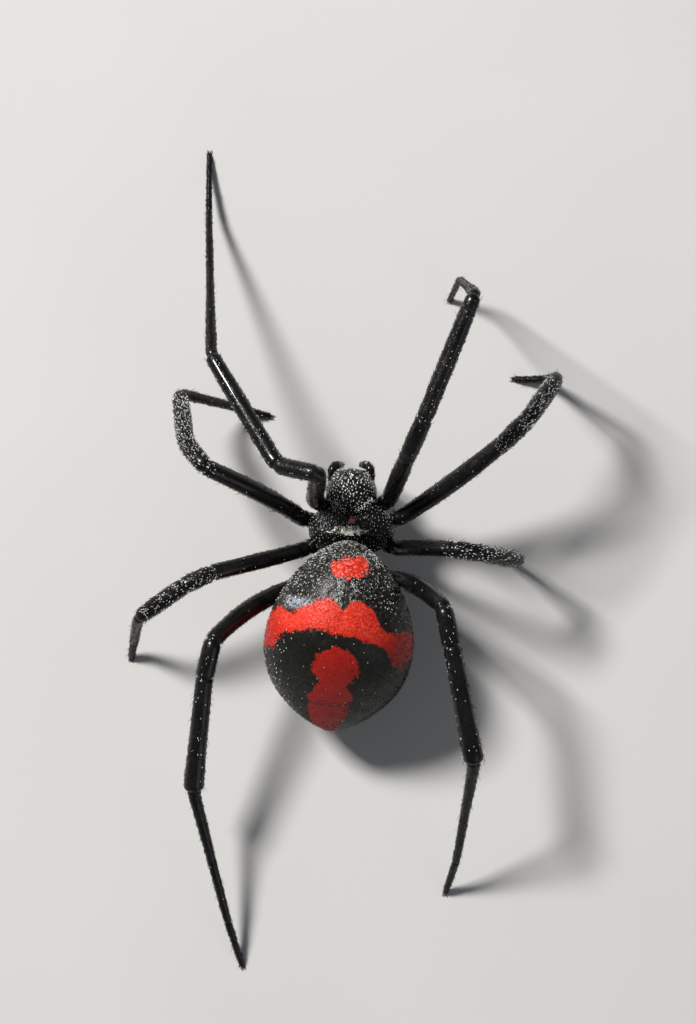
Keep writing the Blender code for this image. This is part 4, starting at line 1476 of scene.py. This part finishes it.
# %% Head patterns
def thinned(roots, gaps):
    """Picks places in turn, each only if none picked before stands closer than its own gap."""
    picked = []
    for number, root in enumerate(roots):
        if not picked or np.min(np.linalg.norm(roots[picked] - root, axis=1)) > gaps[number]:
            picked.append(number)
    return np.array(picked)


def head_patterns(roots):
    """How much each place belongs to the painted glint patterns: the rear band, the dome, the neck's grooves
    with a spot at its left, and the brow.
    """
    off = roots / MM - np.array(SHIFT)
    x, ahead = off[:, 0], off[:, 1]
    aside = x - BODY_X
    band = np.exp(-((x - 0.05) / 0.75) ** 2 - ((ahead + 0.93) / 0.22) ** 2)
    dome = np.exp(-(aside ** 2 + (ahead - 1.1) ** 2) / 0.7)
    out = abs(aside) - 0.2
    along, apart = out * 0.81 + ahead * 0.58, ahead * 0.81 - out * 0.58
    grooves = np.exp(-(apart / 0.14) ** 2) * ease(-0.1, 0.1, along) * (1.0 - ease(0.9, 1.1, along))
    left_glint_spot = np.exp(-((x + 0.60) / 0.20) ** 2 - ((ahead - 0.12) / 0.30) ** 2)
    tufts = (0.5 + 0.5 * np.cos(aside * 10.0)) * (abs(aside) < 0.85)
    brow = np.exp(-((ahead - 1.66) / 0.16) ** 2) * tufts
    return band, dome, np.maximum(grooves, left_glint_spot), brow


def patchy(roots):
    """A slow random pattern from 0 to 1 that gathers bristles in clusters."""
    off = roots / MM
    return 0.5 + 0.5 * np.sin(off[:, 0] * 4.7 + 1.3) * np.sin(off[:, 1] * 4.1 + off[:, 0] * 1.9)


def head_weight(roots, outward):
    """More bristles, the pale ones being painted glints, on the dome, in the band, along the grooves and by
    the eyes, and few below.
    """
    band, dome, grooves, brow = head_patterns(roots)
    glint_patches = 0.9 * dome + 3.0 * band + 2.2 * grooves + 2.0 * brow
    return np.where(outward[:, 2] > -0.1, 0.45 + 0.8 * patchy(roots) + glint_patches, 0.1)


print("head patterns ready")

# %% Head bristles
dice = np.random.default_rng(8)
roots, outward, root_map = scatter(carapace, (CARAPACE_SIDES, CARAPACE_ROWS), 4400, dice, head_weight)
off_eyes = np.ones(len(roots), bool)
for _, centre, _, radius in EYE_PLACES:
    off_eyes &= np.linalg.norm(roots - np.array(at(centre)), axis=1) > radius * 2.1 * MM
roots, outward, root_map = roots[off_eyes], outward[off_eyes], root_map[off_eyes]
band, dome, grooves, brow = head_patterns(roots)
dense = np.clip(band + grooves + brow, 0.0, 1.0)
glint_patches = np.clip(band + grooves + brow + dome, 0.0, 1.0)
gaps = (0.15 - 0.08 * dense - 0.04 * dome * patchy(roots)) * MM
pale = np.zeros(len(roots), bool)
pale[thinned(roots, gaps)] = True
keep = pale | (dice.random(len(roots)) < 0.25)
roots, outward, root_map, pale, glint_patches = (rows[keep] for rows in (roots, outward, root_map, pale, glint_patches))
lie = np.array((0.0, 1.0, 0.1)) + dice.normal(0.0, 0.3, roots.shape)
# pale bristles are painted glints, brightest in the glint patterns
glint_brightness = 0.55 + 0.20 * glint_patches + 0.25 * dice.random(len(roots))
tint = np.where(pale, glint_brightness, 0.01 * dice.random(len(roots)))
hair = 0.10 * np.exp(dice.normal(0.0, 0.25, len(roots))) * np.where(pale, 0.55 + 0.35 * glint_patches, 0.9)
broad = 0.014 + 0.016 * dice.random(len(roots)) ** 2 + 0.016 * glint_patches
thick = np.where(pale, broad, 0.007)
bristles(
    "bristles_head", roots, outward, lie, hair * MM, thick * MM,
    np.radians(np.where(pale, 58.0, 26.0) + dice.normal(0.0, 9.0, len(roots))), root_map, tint, leg_hair,
)
print("bristles on the head:", len(roots), "pale ones:", int(pale.sum()))

# %% [markdown]
# Each foot ends in small hooked claws. One claw is a cone drawn out from a disc, and its guide is
# an arc, so that the hook curls down to the floor.

# %% Claws
CLAW_PROFILE = ((0.5, 0.026), (0.85, 0.012), (1.0, 0.004))


def claw_guide(side, leg, spread):
    """An arc from the foot's tip, ahead and down to the floor."""
    before, tip = leg_joints(side, leg)[-2:]
    ahead = Vector((tip.x - before.x, tip.y - before.y, 0.0)).normalized()
    aside = Vector((-ahead.y, ahead.x, 0.0))
    start = tip - ahead * 0.02 + Vector((0.0, 0.0, 0.09)) + aside * 0.045 * spread
    points = []
    for k in range(9):
        t = k / 8
        points.append(start + (ahead * math.sin(t * 1.6) + aside * spread * t * 0.35) * 0.17
                      + Vector((0.0, 0.0, 0.03 * math.sin(t * 2.6) - 0.075 * t * t)))
    return points


for side, leg in LEG_PATHS:
    claws = []
    for spread in (-1, 1):
        points = claw_guide(side, leg, spread)
        length = path_length(points)
        hook = [(share * length, radius) for share, radius in CLAW_PROFILE]
        claw = drawn_tube([(0.0, 0.030), (0.02, 0.036), *hook], 8)
        bend_along(claw, guide_curve(points))
        claws.append(claw)
    only(claws[0])
    claws[1].select_set(True)
    bpy.ops.object.join()
    finish_piece("claws_%s_%d" % (side, leg), claws[0], claw_horn, 1)
    stand_clear(claws[0])
print("claws:", 2 * len(LEG_PATHS))

# %% [markdown]
# The guides have done their work, and a curve left in the scene would count as a piece of the model.

# %% Remove the guides
for thing in [thing for thing in bpy.data.objects if thing.type == "CURVE"]:
    bpy.data.objects.remove(thing, do_unlink=True)

# %% [markdown]
# The floor is plain and pale. A soft light from the upper left gives the legs their long highlights,
# a wide weak one from the other side opens the shadows, and the world's pale grey fills what is left.

# %% Floor and light
bpy.ops.object.select_all(action="DESELECT")
bpy.ops.mesh.primitive_plane_add(size=3.0, location=(0.0, 0.0, 0.0))
floor = bpy.context.object
floor.name = "floor"
paint = Finish("pale_floor")
cloudy = paint.noise(paint.place(), 0.05, 2.0)
paint.shine(
    Base_Color=paint.blend(cloudy, (0.40, 0.395, 0.39), (0.45, 0.445, 0.44)),
    Roughness=cloudy * 0.1 + 0.75,
)
floor.data.materials.append(paint.material)


def soft_light(name, place, size, power, colour):
    """A square light that points at the middle of the spider."""
    bpy.ops.object.light_add(type="AREA", location=place)
    light = bpy.context.object
    light.name = name
    light.data.size = size
    light.data.energy = power
    light.data.color = colour
    aim = Vector((0.0, 0.0, 0.005)) - light.location
    light.rotation_mode = "QUATERNION"
    light.rotation_quaternion = aim.to_track_quat("-Z", "Y")


soft_light("key_light", (-0.24, 0.22, 0.34), 0.09, 4.4, (1.0, 0.98, 0.95))
soft_light("fill_light", (0.34, -0.30, 0.26), 0.30, 0.30, (0.94, 0.97, 1.0))
world = bpy.data.worlds.new("studio")
bpy.context.scene.world = world
world.use_nodes = True
world.node_tree.nodes["Background"].inputs["Color"].default_value = (0.80, 0.84, 0.90, 1.0)
world.node_tree.nodes["Background"].inputs["Strength"].default_value = 0.20
bpy.context.scene.view_settings.view_transform = "Standard"
print("lights: 2")
